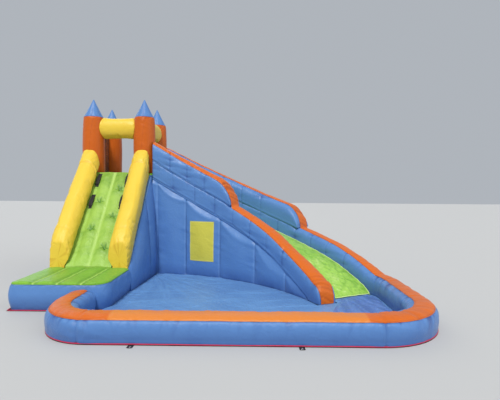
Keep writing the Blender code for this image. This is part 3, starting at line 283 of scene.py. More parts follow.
def places(first, last, step, seams=(), tight=(0.014, 0.006)):
    """Places from first to last, closer together beside each seam."""
    count = max(2, int(round((last - first) / step)))
    kept = list(np.linspace(first, last, count + 1))
    near = [s + side * off for s in seams for off in (0, *tight) for side in (-1, 1)]
    kept = [p for k, p in enumerate(kept) if k in (0, count)
            or not any(abs(p - s) < tight[0] + step / 2 for s in seams)]
    kept += [p for p in near if first + 0.002 < p < last - 0.002]
    return np.array(sorted(set(np.round(kept, 6))))


# Meshes


def out_of(grid, toward=None):
    """Unit vectors that leave rings of points outwards, or an open grid to the side of toward."""
    if toward is None:
        across = np.roll(grid, -1, 1) - np.roll(grid, 1, 1)
        toward = grid - grid.mean(axis=1, keepdims=True)
    else:
        across = np.gradient(grid, axis=1)
    normal = np.cross(across, np.gradient(grid, axis=0))
    normal /= np.linalg.norm(normal, axis=2, keepdims=True) + 1e-12
    return -normal if (normal * toward).sum() < 0 else normal


def lengths(grid, axis):
    """Distance along the rows or the columns of a grid, in metres."""
    steps = np.linalg.norm(np.diff(grid, axis=axis), axis=2)
    start = np.zeros_like(grid[:1, :, 0] if axis == 0 else grid[:, :1, 0])
    return np.concatenate([start, np.cumsum(steps, axis=axis)], axis=axis)


def mean_run(grid):
    """Distance down a grid, the same for all points of a row."""
    return lengths(grid, 0).mean(axis=1, keepdims=True) + 0 * grid[..., 0]


def abreast(*grids):
    """Grids or their values put side by side, column after column."""
    return np.concatenate(grids, axis=1)


def bridge(first, last, steps):
    """Columns of points between two columns."""
    t = np.linspace(0, 1, steps)[1:-1][None, :, None]
    return first * (1 - t) + last * t


def shown_values(hidden, **values):
    """Values by point, from 0 to 1, for a ring whose last columns stay hidden."""
    return {label: abreast(np.clip(value, 0, 1), 0 * hidden[..., 0])
            for label, value in values.items()}


def build(name, points, faces, finish, spread=None, values=None, smooth=50.0):
    """An object from points and faces, with its finish, its own map and its values by point."""
    mesh = bpy.data.meshes.new(name)
    mesh.from_pydata(np.asarray(points, float).tolist(), [], faces)
    mesh.validate()
    shape = bmesh.new()
    shape.from_mesh(mesh)
    bmesh.ops.recalc_face_normals(shape, faces=shape.faces)
    shape.to_mesh(mesh)
    shape.free()
    loops = np.zeros(len(mesh.loops), np.int32)
    mesh.loops.foreach_get("vertex_index", loops)
    if spread is not None:
        layer = mesh.uv_layers.new(name="Cloth")
        layer.data.foreach_set("uv", np.asarray(spread, float)[loops].ravel())
    for label, value in (values or {}).items():
        attribute = mesh.attributes.new(label, "FLOAT", "POINT")
        attribute.data.foreach_set("value", np.asarray(value, np.float32).ravel())
    mesh.shade_smooth()
    mesh.set_sharp_from_angle(angle=math.radians(smooth))
    mesh.materials.append(bpy.data.materials[finish])
    item = bpy.data.objects.new(name, mesh)
    bpy.context.scene.collection.objects.link(item)
    return item


def grid_faces(rows, columns, wrap):
    count = columns if wrap else columns - 1
    r, c = np.meshgrid(np.arange(rows - 1), np.arange(count), indexing="ij")
    n = (c + 1) % columns
    quads = np.stack([r * columns + c, r * columns + n, (r + 1) * columns + n,
                      (r + 1) * columns + c], -1).reshape(-1, 4)
    return quads.tolist()


def tube(name, grid, finish, values=None, domes=(0.0, 0.0)):
    """A closed skin over rings of points, its ends closed by low domes."""
    rows, columns = grid.shape[:2]
    spread = np.stack([mean_run(grid), lengths(grid, 1)], -1)
    faces = grid_faces(rows, columns, True)
    points, maps = [grid.reshape(-1, 3)], [spread.reshape(-1, 2)]
    values = {label: np.asarray(value, float) for label, value in (values or {}).items()}
    kept = {label: [value.ravel()] for label, value in values.items()}
    start = rows * columns
    for end, inner, dome in ((0, 1, domes[0]), (-1, -2, domes[1])):
        ring = grid[end]
        middle = ring.mean(axis=0)
        heading = middle - grid[inner].mean(axis=0)
        heading /= np.linalg.norm(heading) + 1e-12
        previous = np.arange(columns) + (0 if end == 0 else (rows - 1) * columns)
        for share in (0.86, 0.62, 0.32):
            rise = dome * math.sqrt(1 - share**2)
            points.append(middle + (ring - middle) * share + heading * rise)
            maps.append(spread[end])
            for label, value in values.items():
                kept[label].append(value[end])
            here = np.arange(columns) + start
            start += columns
            corners = [previous, np.roll(previous, -1), np.roll(here, -1), here]
            faces += np.stack(corners, -1).tolist()
            previous = here
        points.append((middle + heading * dome)[None])
        maps.append(spread[end].mean(axis=0)[None])
        for label, value in values.items():
            kept[label].append(value[end].mean(keepdims=True))
        faces += [[int(a), int(b), start] for a, b in zip(previous, np.roll(previous, -1))]
        start += 1
    return build(name, np.vstack(points), faces, finish, np.vstack(maps),
                 {label: np.concatenate(value) for label, value in kept.items()})


def slab(name, grid, thickness, finish, values=None, *, outward):
    """A band of cloth from a grid, with a thickness on its outer side and closed edges."""
    rows, columns = grid.shape[:2]
    both = abreast(grid, (grid + outward * thickness)[:, ::-1])
    spread = np.stack([mean_run(grid), lengths(grid, 1)], -1)
    spread = abreast(spread, spread[:, ::-1])
    faces = grid_faces(rows, 2 * columns, True)
    for row, turn in ((0, 1), (rows - 1, -1)):
        for c in range(columns - 1):
            a, b = row * 2 * columns + c, (row + 1) * 2 * columns - 1 - c
            faces.append([a, b, b - 1, a + 1][::turn])
    doubled = {k: abreast(v, v[:, ::-1]) for k, v in (values or {}).items()}
    return build(name, both.reshape(-1, 3), faces, finish, spread.reshape(-1, 2), doubled)


def prisms(name, bars, finish, smooth=50.0):
    """One object from bars, each given by the rings of points along it."""
    points, faces = [], []
    for rings in bars:
        start, sides, last = len(points), len(rings[0]), len(rings) - 1
        points += [point for ring in rings for point in ring]
        faces += [[start + i for i in quad] for quad in grid_faces(len(rings), sides, True)]
        ends = np.array([range(start, start + sides)] * 2) + [[0], [last * sides]]
        faces += [ends[0, ::-1].tolist(), ends[1].tolist()]
    return build(name, np.array(points), faces, finish, smooth=smooth)


def closed_skin(name, grid, finish, values=None):
    """A skin over rings of points of which the last leads to the first."""
    points = grid.reshape(-1, 3)
    faces = [[i % len(points) for i in quad]
             for quad in grid_faces(len(grid) + 1, grid.shape[1], True)]
    return build(name, points, faces, finish, values=values)


def inside(points, outline):
    """Which flat points lie inside an outline."""
    x, y = points[:, 0], points[:, 1]
    found = np.zeros(len(points), bool)
    for (ax, ay), (bx, by) in zip(outline, np.roll(outline, -1, 0)):
        if ay == by:
            continue
        crosses = ((ay > y) != (by > y)) & (x < (bx - ax) * (y - ay) / (by - ay) + ax)
        found ^= crosses
    return found


def edge_distance(points, outline):
    """Distance of flat points from an outline, and how far along it the nearest place is."""
    best, along, run = np.full(len(points), 1e9), np.zeros(len(points)), 0.0
    for a, b in zip(outline, np.roll(outline, -1, 0)):
        step = b - a
        size = np.hypot(*step)
        if size < 1e-9:
            continue
        t = np.clip(((points - a) @ step) / size**2, 0, 1)
        off = np.linalg.norm(points - a - t[:, None] * step, axis=1)
        closer = off < best
        best, along = np.where(closer, off, best), np.where(closer, run + t * size, along)
        run += size
    return best, along


def cut_cloth(name, outline, step, height, thickness, finish, holes=(),
              plane=lambda points: points):
    """A sheet cut to an outline with holes, its surface raised by a height function."""
    loops = [fine_loop(loop, step) for loop in (outline, *holes)]
    low, high = loops[0].min(0), loops[0].max(0)
    xs, ys = np.arange(low[0], high[0], step), np.arange(low[1], high[1], step * 0.87)
    grid = np.stack(np.meshgrid(xs, ys), -1)
    grid[1::2, :, 0] += step / 2
    inner = grid.reshape(-1, 2)

    def on_cloth(points):
        within = [inside(points, loop) for loop in loops]
        return within[0] & ~np.any(within[1:], axis=0)

    keep = on_cloth(inner) & (edge_distance(inner, loops[0])[0] > step * 0.55)
    for hole in loops[1:]:
        keep &= edge_distance(inner, hole)[0] > step * 0.45
    edges, start = [], 0
    for loop in loops:
        edges += [(start + k, start + (k + 1) % len(loop)) for k in range(len(loop))]
        start += len(loop)
    flat = np.vstack([*loops, inner[keep]])
    found, _, triangles, *_ = delaunay_2d_cdt([Vector(p) for p in flat], edges, [], 0, 1e-7, False)
    flat, triangles = np.array([tuple(p) for p in found]), np.array(triangles)
    triangles = triangles[on_cloth(flat[triangles].mean(axis=1))]
    off, run = edge_distance(flat, loops[0])
    z, fold = height(flat, off, run)
    top = plane(np.column_stack([flat, z + thickness]))
    under = plane(np.column_stack([flat, z]))
    count = len(flat)
    pairs = np.sort(np.concatenate([triangles[:, [k, (k + 1) % 3]] for k in range(3)]), axis=1)
    edge, uses = np.unique(pairs, axis=0, return_counts=True)
    faces = (triangles.tolist() + (triangles[:, ::-1] + count).tolist()
             + [[int(a), int(b), int(b) + count, int(a) + count] for a, b in edge[uses == 1]])
    return build(name, np.vstack([top, under]), faces, finish, np.vstack([flat, flat]),
                 {"hem": np.concatenate([off, off]), "fold": np.concatenate([fold, fold])})


def in_space(flat):
    """Flat points as points at height zero."""
    return np.column_stack([flat, np.zeros(len(flat))])


def dress(item, slot, nodes=(), on=None, **cloth):
    """Attaches a piece to the frame body and hides the nodes it replaces; its slot, cloth and what
    it is on are not used.
    """
    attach(item, "frame")
    if nodes:
        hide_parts(*nodes)
    if on:
        cloth.update(held="stretched", rests_on=[on])


green_cloths = {"lane": 0.8, "ramp": 0.8, "step": 0.85}


def padded_skin(node, grid, cloth, values=None, domes=(0.0, 0.0)):
    """A closed skin of one cloth in place of its CAD node."""
    item = tube(node + "_skin", grid, cloth + "_cloth", values, domes)
    dress(item, ("green" if cloth in green_cloths else cloth) + "_fabric", [node])


def lay_out(item, node, slot, outline, **cloth):
    """Puts a sheet in place of its CAD node; the size and area of its flat outline are worked out
    but not used.
    """
    x, y = outline.T
    area = abs(np.dot(x, np.roll(y, -1)) - np.dot(y, np.roll(x, -1))) / 2
    dress(item, slot, [node], flat=tuple(outline.max(0) - outline.min(0)), held="laid",
          area=float(area), **cloth)


# Finishes


def node_group(name, inputs):
    """A group of nodes that gives a colour, a roughness and a normal, with its maker and start."""
    group = bpy.data.node_groups.new(name, "ShaderNodeTree")
    for label, value in inputs.items():
        kind = "Color" if isinstance(value, tuple) else "Float"
        socket = group.interface.new_socket(label, in_out="INPUT", socket_type="NodeSocket" + kind)
        socket.default_value = value
    for label, kind in (("Color", "Color"), ("Roughness", "Float"), ("Normal", "Vector")):
        group.interface.new_socket(label, in_out="OUTPUT", socket_type="NodeSocket" + kind)
    make = Maker(group)
    return group, make, make.add("NodeGroupInput").outputs


class Maker:
    """Adds nodes to a tree and joins them up."""

    def __init__(self, tree):
        self.tree = tree

    def feed(self, socket, value):
        if isinstance(value, bpy.types.NodeSocket):
            self.tree.links.new(value, socket)
        else:
            socket.default_value = value

    def add(self, kind, values=None, **settings):
        node = self.tree.nodes.new(kind)
        for key, value in settings.items():
            setattr(node, key, value)
        for key, value in (values or {}).items():
            self.feed(node.inputs[key], value)
        return node

    def math(self, operation, first, second=0.0, clamp=False):
        return self.add("ShaderNodeMath", {0: first, 1: second}, operation=operation,
                        use_clamp=clamp).outputs[0]

    def mix(self, share, first, second):
        return self.add("ShaderNodeMix", {0: share, 6: first, 7: second}, data_type="RGBA",
                        blend_type="MIX").outputs[2]

    def span(self, value, low, high, to_low=0.0, to_high=1.0):
        return self.add("ShaderNodeMapRange", {"Value": value, "From Min": low, "From Max": high,
                                               "To Min": to_low, "To Max": to_high}).outputs[0]

    def noise(self, spot, scale, detail, **more):
        return self.add("ShaderNodeTexNoise", {"Vector": spot, "Scale": scale, "Detail": detail,
                                               **more}).outputs["Fac"]

    def mark(self, name):
        return self.add("ShaderNodeAttribute", attribute_name=name).outputs["Fac"]

    def bump(self, strength, distance, height, **more):
        return self.add("ShaderNodeBump", {"Strength": strength, "Distance": distance,
                                           "Height": height, **more}).outputs["Normal"]


def make_cloth_group():
    """Coated cloth: a fine weave, soft creases, faded patches, darker seams with painted shade in
    folds, joints and near the ground, and paler seams with painted highlights.
    """
    group, make, start = node_group("coated_cloth", {
        "Cloth Colour": (0.5, 0.5, 0.5, 1), "Shade Colour": (0.3, 0.3, 0.3, 1),
        "Seam Colour": (0.6, 0.6, 0.6, 1), "Fold Colour": (0.2, 0.2, 0.2, 1), "Fading": 0.5,
        "Crease Size": 12.0, "Crease Height": 0.3, "Weave Height": 0.1, "Ground Dust": 0.0,
        "Gloss": 0.42})
    spot = make.add("ShaderNodeTexCoord").outputs["Object"]
    mottle = make.noise(spot, 2.2, 3.0, Roughness=0.55)
    fine = make.noise(spot, 26.0, 4.0, Roughness=0.6)
    worn = make.math("ADD", make.span(mottle, 0.35, 0.65, -0.5, 0.5),
                     make.span(fine, 0.3, 0.7, -0.22, 0.22))
    worn = make.math("ADD", make.math("MULTIPLY", worn, start["Fading"]), 0.0, clamp=True)
    colour = make.mix(worn, start["Cloth Colour"], start["Shade Colour"])
    # Darker seam lines, and painted shade in fold troughs, at feet, in joints and in hollows
    colour = make.mix(make.mark("fold"), colour, start["Fold Colour"])
    # Paler seam lines, and painted highlights: the lane's ridges and a painted sky reflection on the
    # rim's front band
    colour = make.mix(make.mark("crease"), colour, start["Seam Colour"])
    # Painted shade: the cloth grows darker towards the bottom, within 0.19 m of the ground, a little
    # unevenly
    height = make.add("ShaderNodeSeparateXYZ", {"Vector": spot}).outputs["Z"]
    ground_shade = make.math("MULTIPLY", make.span(height, 0.01, 0.19, 1.0, 0.0), start["Ground Dust"])
    ground_shade = make.math("MULTIPLY", ground_shade, make.span(mottle, 0.3, 0.7, 0.75, 1.0))
    colour = make.mix(ground_shade, colour, start["Fold Colour"])
    wrinkle = make.noise(spot, start["Crease Size"], 3.0, Roughness=0.5, Distortion=0.6)
    ridge = make.math("ABSOLUTE", make.span(wrinkle, 0.25, 0.75, -1.0, 1.0))
    ridge = make.math("POWER", make.math("SUBTRACT", 1.0, ridge), 3.0)
    bent = make.bump(start["Crease Height"], 0.006, ridge)
    threads = [make.add("ShaderNodeTexWave", {"Vector": spot, "Scale": 260.0, "Distortion": 0.4},
                        bands_direction=way).outputs["Fac"] for way in ("X", "Y", "Z")]
    weave = make.math("MULTIPLY", make.math("ADD", threads[0], threads[1]), threads[2])
    rough = make.math("ADD", start["Gloss"], make.span(fine, 0.3, 0.7, -0.05, 0.07))
    make.add("NodeGroupOutput", {
        "Color": colour, "Roughness": rough,
        "Normal": make.bump(start["Weave Height"], 0.0006, weave, Normal=bent)})
    return group


def make_wear_group():
    """Moulded or metal surface: fine grain, smudges and paler worn edges."""
    group, make, start = node_group("handled_surface", {
        "Face Colour": (0.5, 0.5, 0.5, 1), "Edge Colour": (0.7, 0.7, 0.7, 1),
        "Grain Size": 400.0, "Grain Height": 0.2, "Gloss": 0.4})
    spot = make.add("ShaderNodeTexCoord").outputs["Object"]
    smudge = make.noise(spot, 18.0, 4.0)
    grain = make.noise(spot, start["Grain Size"], 2.0)
    bend = make.add("ShaderNodeNewGeometry").outputs["Pointiness"]
    edge = make.math("MULTIPLY", make.span(bend, 0.53, 0.62), make.span(smudge, 0.35, 0.6))
    colour = make.mix(edge, start["Face Colour"], start["Edge Colour"])
    colour = make.mix(make.span(smudge, 0.45, 0.8, 0.0, 0.1), colour, (0.03, 0.03, 0.03, 1))
    rough = make.math("ADD", start["Gloss"], make.span(smudge, 0.3, 0.7, -0.08, 0.1))
    make.add("NodeGroupOutput", {"Color": colour, "Roughness": rough,
                                 "Normal": make.bump(start["Grain Height"], 0.0008, grain)})
    return group


def new_material(name, group, values, **sockets):
    """A Principled material fed by one of the shared groups."""
    material = bpy.data.materials.new(name)
    material.use_nodes = True
    make = Maker(material.node_tree)
    shader = material.node_tree.nodes["Principled BSDF"]
    effect = make.add("ShaderNodeGroup", node_tree=group)
    for key, value in values.items():
        effect.inputs[key].default_value = linear(*value) if isinstance(value, tuple) else value
    for output, socket in (("Color", "Base Color"), ("Roughness",) * 2, ("Normal",) * 2):
        make.feed(shader.inputs[socket], effect.outputs[output])
    for key, value in sockets.items():
        shader.inputs[key.replace("_", " ")].default_value = value


def linear(red, green, blue):
    """A colour from its values out of 255 as a screen shows them."""
    return tuple(((v / 255 + 0.055) / 1.055) ** 2.4 if v > 10 else v / 255 / 12.92
                 for v in (red, green, blue)) + (1.0,)


# Cloth, faded, seam-and-highlight and seam-and-shade colour, how faded, size and height of creases,
# and roughness
cloth_looks = {
    "blue": ((86, 131, 192), (72, 114, 180), (110, 152, 208), (44, 72, 140), 0.5, 11, 0.22, 0.38),
    "pool": ((98, 146, 202), (84, 130, 190), (120, 164, 214), (56, 94, 160), 0.6, 16, 0.6, 0.36),
    "mat": ((90, 128, 196), (76, 112, 182), (114, 152, 212), (48, 76, 146), 0.6, 18, 0.6, 0.38),
    "orange": ((200, 95, 13), (186, 81, 8), (218, 134, 56), (138, 48, 4), 0.5, 13, 0.22, 0.4),
    "strip": ((206, 100, 16), (186, 84, 8), (218, 138, 58), (138, 54, 4), 0.5, 13, 0.22, 0.4),
    "yellow": ((230, 198, 66), (220, 182, 50), (228, 176, 52), (196, 144, 24), 0.5, 12, 0.2, 0.38),
    "ramp": ((154, 194, 84), (136, 182, 64), (186, 218, 128), (70, 128, 20), 0.8, 15, 0.4, 0.4),
    "step": ((120, 176, 48), (100, 160, 34), (168, 206, 106), (64, 120, 16), 0.75, 14, 0.4, 0.4),
    "lane": ((158, 206, 84), (128, 188, 50), (196, 226, 136), (80, 148, 24), 0.9, 22, 0.6, 0.34),
    "piping": ((196, 48, 84), (150, 28, 58), (210, 80, 110), (110, 20, 40), 0.4, 40, 0.2, 0.45),
    "web": ((26, 26, 29), (14, 14, 16), (70, 70, 74), (8, 8, 9), 0.6, 40, 0.2, 0.66),
    "patch": ((206, 200, 78), (186, 180, 60), (226, 224, 130), (150, 146, 40),
             0.45, 14, 0.25, 0.46),
    "sheet": ((44, 46, 54), (26, 27, 32), (70, 72, 80), (16, 16, 20), 0.6, 16, 0.35, 0.6),
    "edging": ((208, 236, 152), (176, 216, 116), (220, 240, 180), (120, 176, 60),
              0.4, 40, 0.2, 0.42)}

# How metallic, face and edge colour, size and height of the grain, and roughness
shell_looks = {
    "grey_shell": (0.0, (112, 116, 122), (160, 164, 170), 260, 0.35, 0.42),
    "black_shell": (0.0, (24, 24, 27), (70, 70, 74), 320, 0.4, 0.46),
    "orange_shell": (0.0, (226, 92, 22), (244, 150, 80), 300, 0.3, 0.38),
    "bright_steel": (1.0, (176, 178, 182), (220, 222, 224), 180, 0.12, 0.26)}


def make_finishes():
    """All the cloths and shells by the tables above."""
    cloth, surface = make_cloth_group(), make_wear_group()
    labels = ("Cloth Colour", "Shade Colour", "Seam Colour", "Fold Colour", "Fading",
              "Crease Size", "Crease Height", "Gloss")
    for name, look in cloth_looks.items():
        new_material(name + "_cloth", cloth, {
            **dict(zip(labels, look)), "Weave Height": 0.25,
            # painted shade near the ground, for the blue cloth only
            "Ground Dust": 0.62 if name == "blue" else 0.0},
            Specular_IOR_Level=0.34, Sheen_Weight=0.06, Sheen_Roughness=0.5)
    labels = ("Face Colour", "Edge Colour", "Grain Size", "Grain Height", "Gloss")
    for name, (metal, *look) in shell_looks.items():
        new_material(name, surface, dict(zip(labels, look)), Metallic=metal)


# The slide


def slide_place(radius, share, height):
    turn = slide_turn * share
    return np.stack([slide_start_x + radius * np.sin(turn), slide_centre_y + radius * np.cos(turn),
                     height + 0 * turn], -1)


def flat_place(radius, share):
    return slide_place(radius, np.array(share), 0.0)[..., :2]


def lane_top(share, inner):
    return deck_height * smooth_share(lane_inner_shares if inner else lane_outer_shares, share)


def support_top(share, inner):
    return np.where(share > panel_seams[-1], bed_height, lane_top(share, inner) - lane_thickness)


def section_of(half):
    """A fine closed section from the known points of one side of it."""
    return smooth_line([*half, *((-u, v) for u, v in half[-2:0:-1])], steps_per_share, closed=True)


tube_ring = section_of(tube_shares)
tube_ring[:, 1] = np.maximum(tube_ring[:, 1], -1)
pressed_ring = np.clip(section_of(pressed_shares), -1, 1)


def guard_grid(inner, low, high, share, size, pressed):
    """Rings of a guard tube, with the fuller section where another tube presses on it."""
    foot = np.where(tube_ring[:, 1] < -0.1, 1.0, 0.0)[None, :]
    amount = np.maximum(pressed[:, None], foot)[:, :, None]
    ring = tube_ring[None] * (1 - amount) + pressed_ring[None] * amount
    radius = inner_guard_radius if inner else outer_guard_radius
    half = ((guard_width if inner else rim_width) / 2 - seam_gap) * size
    middle, tall = (low + high) / 2, (high - low) / 2
    return slide_place(radius + half[:, None] * ring[:, :, 0], share[:, None] + 0 * ring[:, :, 0],
                       middle[:, None] + tall[:, None] * ring[:, :, 1])


def around_from_crest(grid):
    """Distance round each ring from its crest, with the other side negative."""
    run = lengths(grid, 1)
    return run - run[:, grid.shape[1] // 2][:, None]


def dress_tube(grid, cross, edges, seed, soft=0.0035, rise=0.004, line=0.3):
    """Moves a tube's skin: seams across it, seams along it, and soft unevenness."""
    outward = out_of(grid)
    along, around = mean_run(grid), around_from_crest(grid)
    off = soft * lumps(grid, 0.34, seed) + 0.0012 * lumps(grid, 0.11, seed + 1)
    fold = np.zeros_like(off)
    for k, spot in enumerate(cross):
        bed = (around, grid, 0.05, 0.1, seed + 11 + k)
        off += seam(along - spot, *bed[:2], 0.006, 0.012, rise * 1.6, *bed[2:])
        # Darker seam line, and painted shade in the troughs of the folds beside it
        fold += line * bell(along - spot, 0.007) + 0.9 * pinched(along - spot, *bed)
    for k, column in enumerate(edges):
        away = around - around[:, column][:, None]
        bed = (along, grid, 0.046, 0.075, seed + 31 + k)
        off += seam(away, *bed[:2], 0.004, 0.008, rise * 1.2, *bed[2:])
        # Darker seam line, and painted shade in the fold troughs beside it
        fold += 0.2 * bell(away, 0.006) + 0.55 * pinched(away, *bed)
    return grid + outward * off[:, :, None], outward, along, around, np.clip(fold, 0, 1)


def strip_over(node, under, runs, wide, seed, pale=0.0):
    """The orange band along the crest, pleated where it runs steeply."""
    first, last = strip_columns[wide]
    grids, outs, pleats = zip(*runs)
    band, out = (np.concatenate([g[:, first:last + 1] for g in group]) for group in (grids, outs))
    pleat = np.concatenate(pleats)[:, None]
    along, around = mean_run(band), lengths(band, 1)
    side = around - around[:, around.shape[1] // 2][:, None]
    edge = np.minimum(around, around[:, -1:] - around)
    rises = folds(0.2 * side, along + 0.35 * side, band, 0.024, 9.0, seed + 2)
    off = (0.0022 + 0.0011 * folds(edge, along, band, 0.03, 0.05, seed)
           + pleat * 0.0045 * (0.6 + rises) + 0.0014 * lumps(band, 0.09, seed + 4))
    hem = bell(edge - 0.008, 0.0035)
    off = np.maximum(off, 0.0012) - 0.0008 * hem
    # pale lightens the band as a painted sky reflection; the pleat troughs get painted shade and the
    # hem a darker stitched line
    item = slab(node + "_cloth", band + out * off[:, :, None], 0.0016, "strip_cloth",
                {"crease": np.reshape(pale, (-1, 1)) + 0 * off,
                 "fold": 0.4 * hem + 0.6 * pleat * np.clip(-rises, 0, 1)}, outward=out)
    dress(item, "orange_fabric", [node], flat=(float(around[:, -1].mean()), float(along.max())),
          on=under)


def make_guards():
    """The lower and upper guard tubes on both sides of the lane, and the band on their crest."""
    for side, inner, radius, end in (("inner", True, inner_guard_radius, inner_upper_share),
                                     ("outer", False, outer_guard_radius, outer_upper_share)):
        total, edges = radius * slide_turn, strip_columns[inner]
        cross, up_cross = ([0.0] + [total * s for s in shares] for shares in guard_seams[inner])
        share = places(0, total, 0.015, cross[1:]) / total
        low, high = support_top(share, inner) + lay_gap, lane_top(share, inner) + guard_rise
        size = np.ones_like(share)
        if inner:
            out = np.sin(np.linspace(0.08, math.pi / 2 * 0.975, 16))
            base = bed_height + lay_gap
            tall = lane_top(1.0, True) + guard_rise - base
            share, low, high, size = (np.concatenate(pair) for pair in (
                (share, 1 + nose_length / total * out), (low, base + 0 * out),
                (high, base + tall * np.sqrt(1 - out**2)), (size, 1 - 0.2 * out**2)))
        grid = guard_grid(inner, low, high, share, size, ease((end - share) / 0.04))
        lower, out_low, _, _, fold = dress_tube(grid, cross, edges, 40 if inner else 60)
        lower[..., 2] = np.maximum(lower[..., 2], low[:, None])
        padded_skin(f"{side}_guard_lower", lower, "blue", {"fold": fold},
                    (0.0, 0.01 if inner else 0.0))
        shown = share > end + 0.0012
        steep = (ease((share - 0.93) / 0.09) * 0.8 if inner else 0.15 * ease((share - 0.95) / 0.05))
        run_low = (lower[shown], out_low[shown], steep[shown] + 0.06)
        # The upper tube, and its rounded end
        fall = upper_guard_height / total
        share = places(0, total * (end - fall), 0.015, up_cross[1:]) / total
        out = np.sin(np.linspace(0.06, math.pi / 2 * 0.97, 24))
        size = np.concatenate([np.ones_like(share), np.sqrt(1 - out**2)])
        share = np.concatenate([share, end - fall * (1 - out)])
        low = lane_top(share, inner) + guard_rise + lay_gap
        grid = guard_grid(inner, low, low + upper_guard_height * size, share, np.ones_like(size),
                          0 * share)
        upper, out_up, _, _, fold = dress_tube(grid, up_cross, edges, 80 if inner else 90)
        upper[..., 2] = np.maximum(upper[..., 2], low[:, None])
        padded_skin(f"{side}_guard_upper", upper, "blue", {"fold": fold})
        steep = ease((share - (end - fall * 1.1)) / (fall * 0.5))
        strip_over(f"{side}_guard_strip", f"{side}_guard_lower",
                   [(upper, out_up, steep + 0.05), run_low], inner, 110 if inner else 130)


def make_welts():
    """Sewn welts that fill the creases where one tube sits on another."""
    look = {"finish": "blue_cloth", "slot": "blue_fabric", "wobble": 0.0012, "sides": 16}
    for side, inner, last in (("near", True, inner_upper_share), ("far", False, outer_upper_share)):
        middle = inner_guard_radius if inner else outer_guard_radius
        half, out = (guard_width if inner else rim_width) / 2, -1 if inner else 1
        share = np.linspace(0.003, last - 0.004, 150)
        height = lane_top(share, inner) + guard_rise
        for place, sign in (("lane", -out), ("outside", out)):
            line = slide_place(middle + sign * (half - 0.024), share, height)
            bead(f"{side}_guard_{place}_welt", line, (0.015, 0.026), **look)
        share = np.linspace(0.003, 0.955, 220)
        line = slide_place(middle + out * (half - 0.026), share, support_top(share, inner) - 0.01)
        bead(f"{side}_wall_welt", line, (0.015, 0.024), **look)


def wall_out(share, rise, inner, low, top):
    """How far a wall of the slide stands out of its foot line at a height."""
    seams = np.array(panel_seams)
    k = np.clip(np.searchsorted(seams, share, side="right") - 1, 0, len(seams) - 2)
    first, last = seams[k], seams[k + 1]
    t = np.clip((share - first) / (last - first), 0, 1)
    height = low + (top - low) * rise
    swell = np.sin(math.pi * t) ** 1.1 * np.minimum(lane_top(share, True) / 0.6, 1.0)
    left = lane_top(first, inner) - lane_thickness
    right = lane_top(last, inner) - lane_thickness
    hang = right + (left - right) * (1 - t) ** 2.3 - 0.035
    hang = np.minimum(hang, top - 0.045)
    back = ease((height - hang + 0.03) / np.maximum(top - hang + 0.03, 0.02))
    ridge = bell(height - hang, 0.05) * np.sin(math.pi * t) ** 0.5
    body = wall_bulge * swell * np.sin(math.pi * np.minimum(rise, 1) ** 0.8)
    full = ease((lane_top(share, inner) - 0.35) / 0.55)
    return body * (1 - 0.35 * back) + 0.008 * ridge * (share > panel_seams[0]) * full - (
        wall_recess * (0.3 + 0.4 * full) * back)


def wall_grid(share, rise, inner):
    """The skin of the near or the far wall, with its sewn panels, seams and folds."""
    s, r = share[:, None] + 0 * rise, rise + 0 * share[:, None]
    top = np.maximum(lane_top(s, inner) - lane_thickness, bed_height + 0.012)
    stand = wall_out(s, r, inner, bed_height, top)
    sign, radius = (-1, near_wall_radius) if inner else (1, far_wall_radius)
    grid = slide_place(radius + sign * stand, s, bed_height + (top - bed_height) * r)
    grid[..., 2] = np.minimum(grid[..., 2], top)
    run = s * radius * slide_turn
    height = grid[..., 2]
    off = 0.0045 * lumps(grid, 0.3, 7) + 0.0015 * lumps(grid, 0.1, 8)
    crease, fold = np.zeros_like(off), np.zeros_like(off)
    for k, spot in enumerate(panel_seams):
        away = run - spot * radius * slide_turn
        off += seam(away, height, grid, 0.004, 0.01, 0.006, 0.06, 0.075, 200 + k)
        off -= 0.008 * bell(away, 0.035)
        # A painted highlight on one side of each seam and painted shade on the other
        crease += 0.6 * bell(away + 0.013, 0.008)
        fold += 0.12 * bell(away - 0.006, 0.008)
    foot = height - bed_height
    off += 0.005 * folds(foot, run, grid, 0.06, 0.07, 230)
    off += 0.0045 * folds(top - height, run, grid, 0.055, 0.07, 231)
    # Painted shade where the wall meets the ground
    fold += 0.7 * bell(foot, 0.012)
    off *= ease(foot / 0.012) * ease((top - height) / 0.012)
    out = out_of(grid, sign * (slide_place(1.0, s, 0 * s) - slide_place(0.0, s, 0 * s)))
    return grid + out * off[..., None], out, np.clip(crease, 0, 1), np.clip(fold, 0, 1)


def between_walls(near, far, over, **values):
    """Rings of columns round two facing walls, and the values of both walls' points."""
    top, foot = bridge(near[:, -1:], far[:, -1:], over), bridge(far[:, :1], near[:, :1], 7)
    ring = abreast(near, top, far[:, ::-1], foot)
    return ring, {label: abreast(a, 0 * top[..., 0], b[:, ::-1], 0 * foot[..., 0])
                  for label, (a, b) in values.items()}


def make_blocks():
    """The quilted blocks under the lane: near wall, hidden top and far wall."""
    bounds = (0.0, panel_seams[1], panel_seams[2], panel_seams[3], panel_seams[5])
    rise = np.concatenate([np.linspace(0, 0.06, 5)[:-1], np.linspace(0.06, 0.9, 56),
                           np.linspace(0.9, 1, 12)[1:]])
    length = near_wall_radius * slide_turn
    seams = [s * length for s in panel_seams]
    for number, (first, last) in enumerate(zip(bounds, bounds[1:]), 1):
        share = places(first * length, last * length, 0.016, seams, (0.016, 0.006)) / length
        share[-1] -= 0.0001
        share[0] += 0.0001 if number > 1 else 0
        near, _, near_crease, near_fold = wall_grid(share, rise, True)
        far, _, far_crease, far_fold = wall_grid(share, rise, False)
        ring, values = between_walls(near, far, 9, crease=(near_crease, far_crease),
                                     fold=(near_fold, far_fold))
        padded_skin(f"slide_block_{number}", ring, "blue", values)


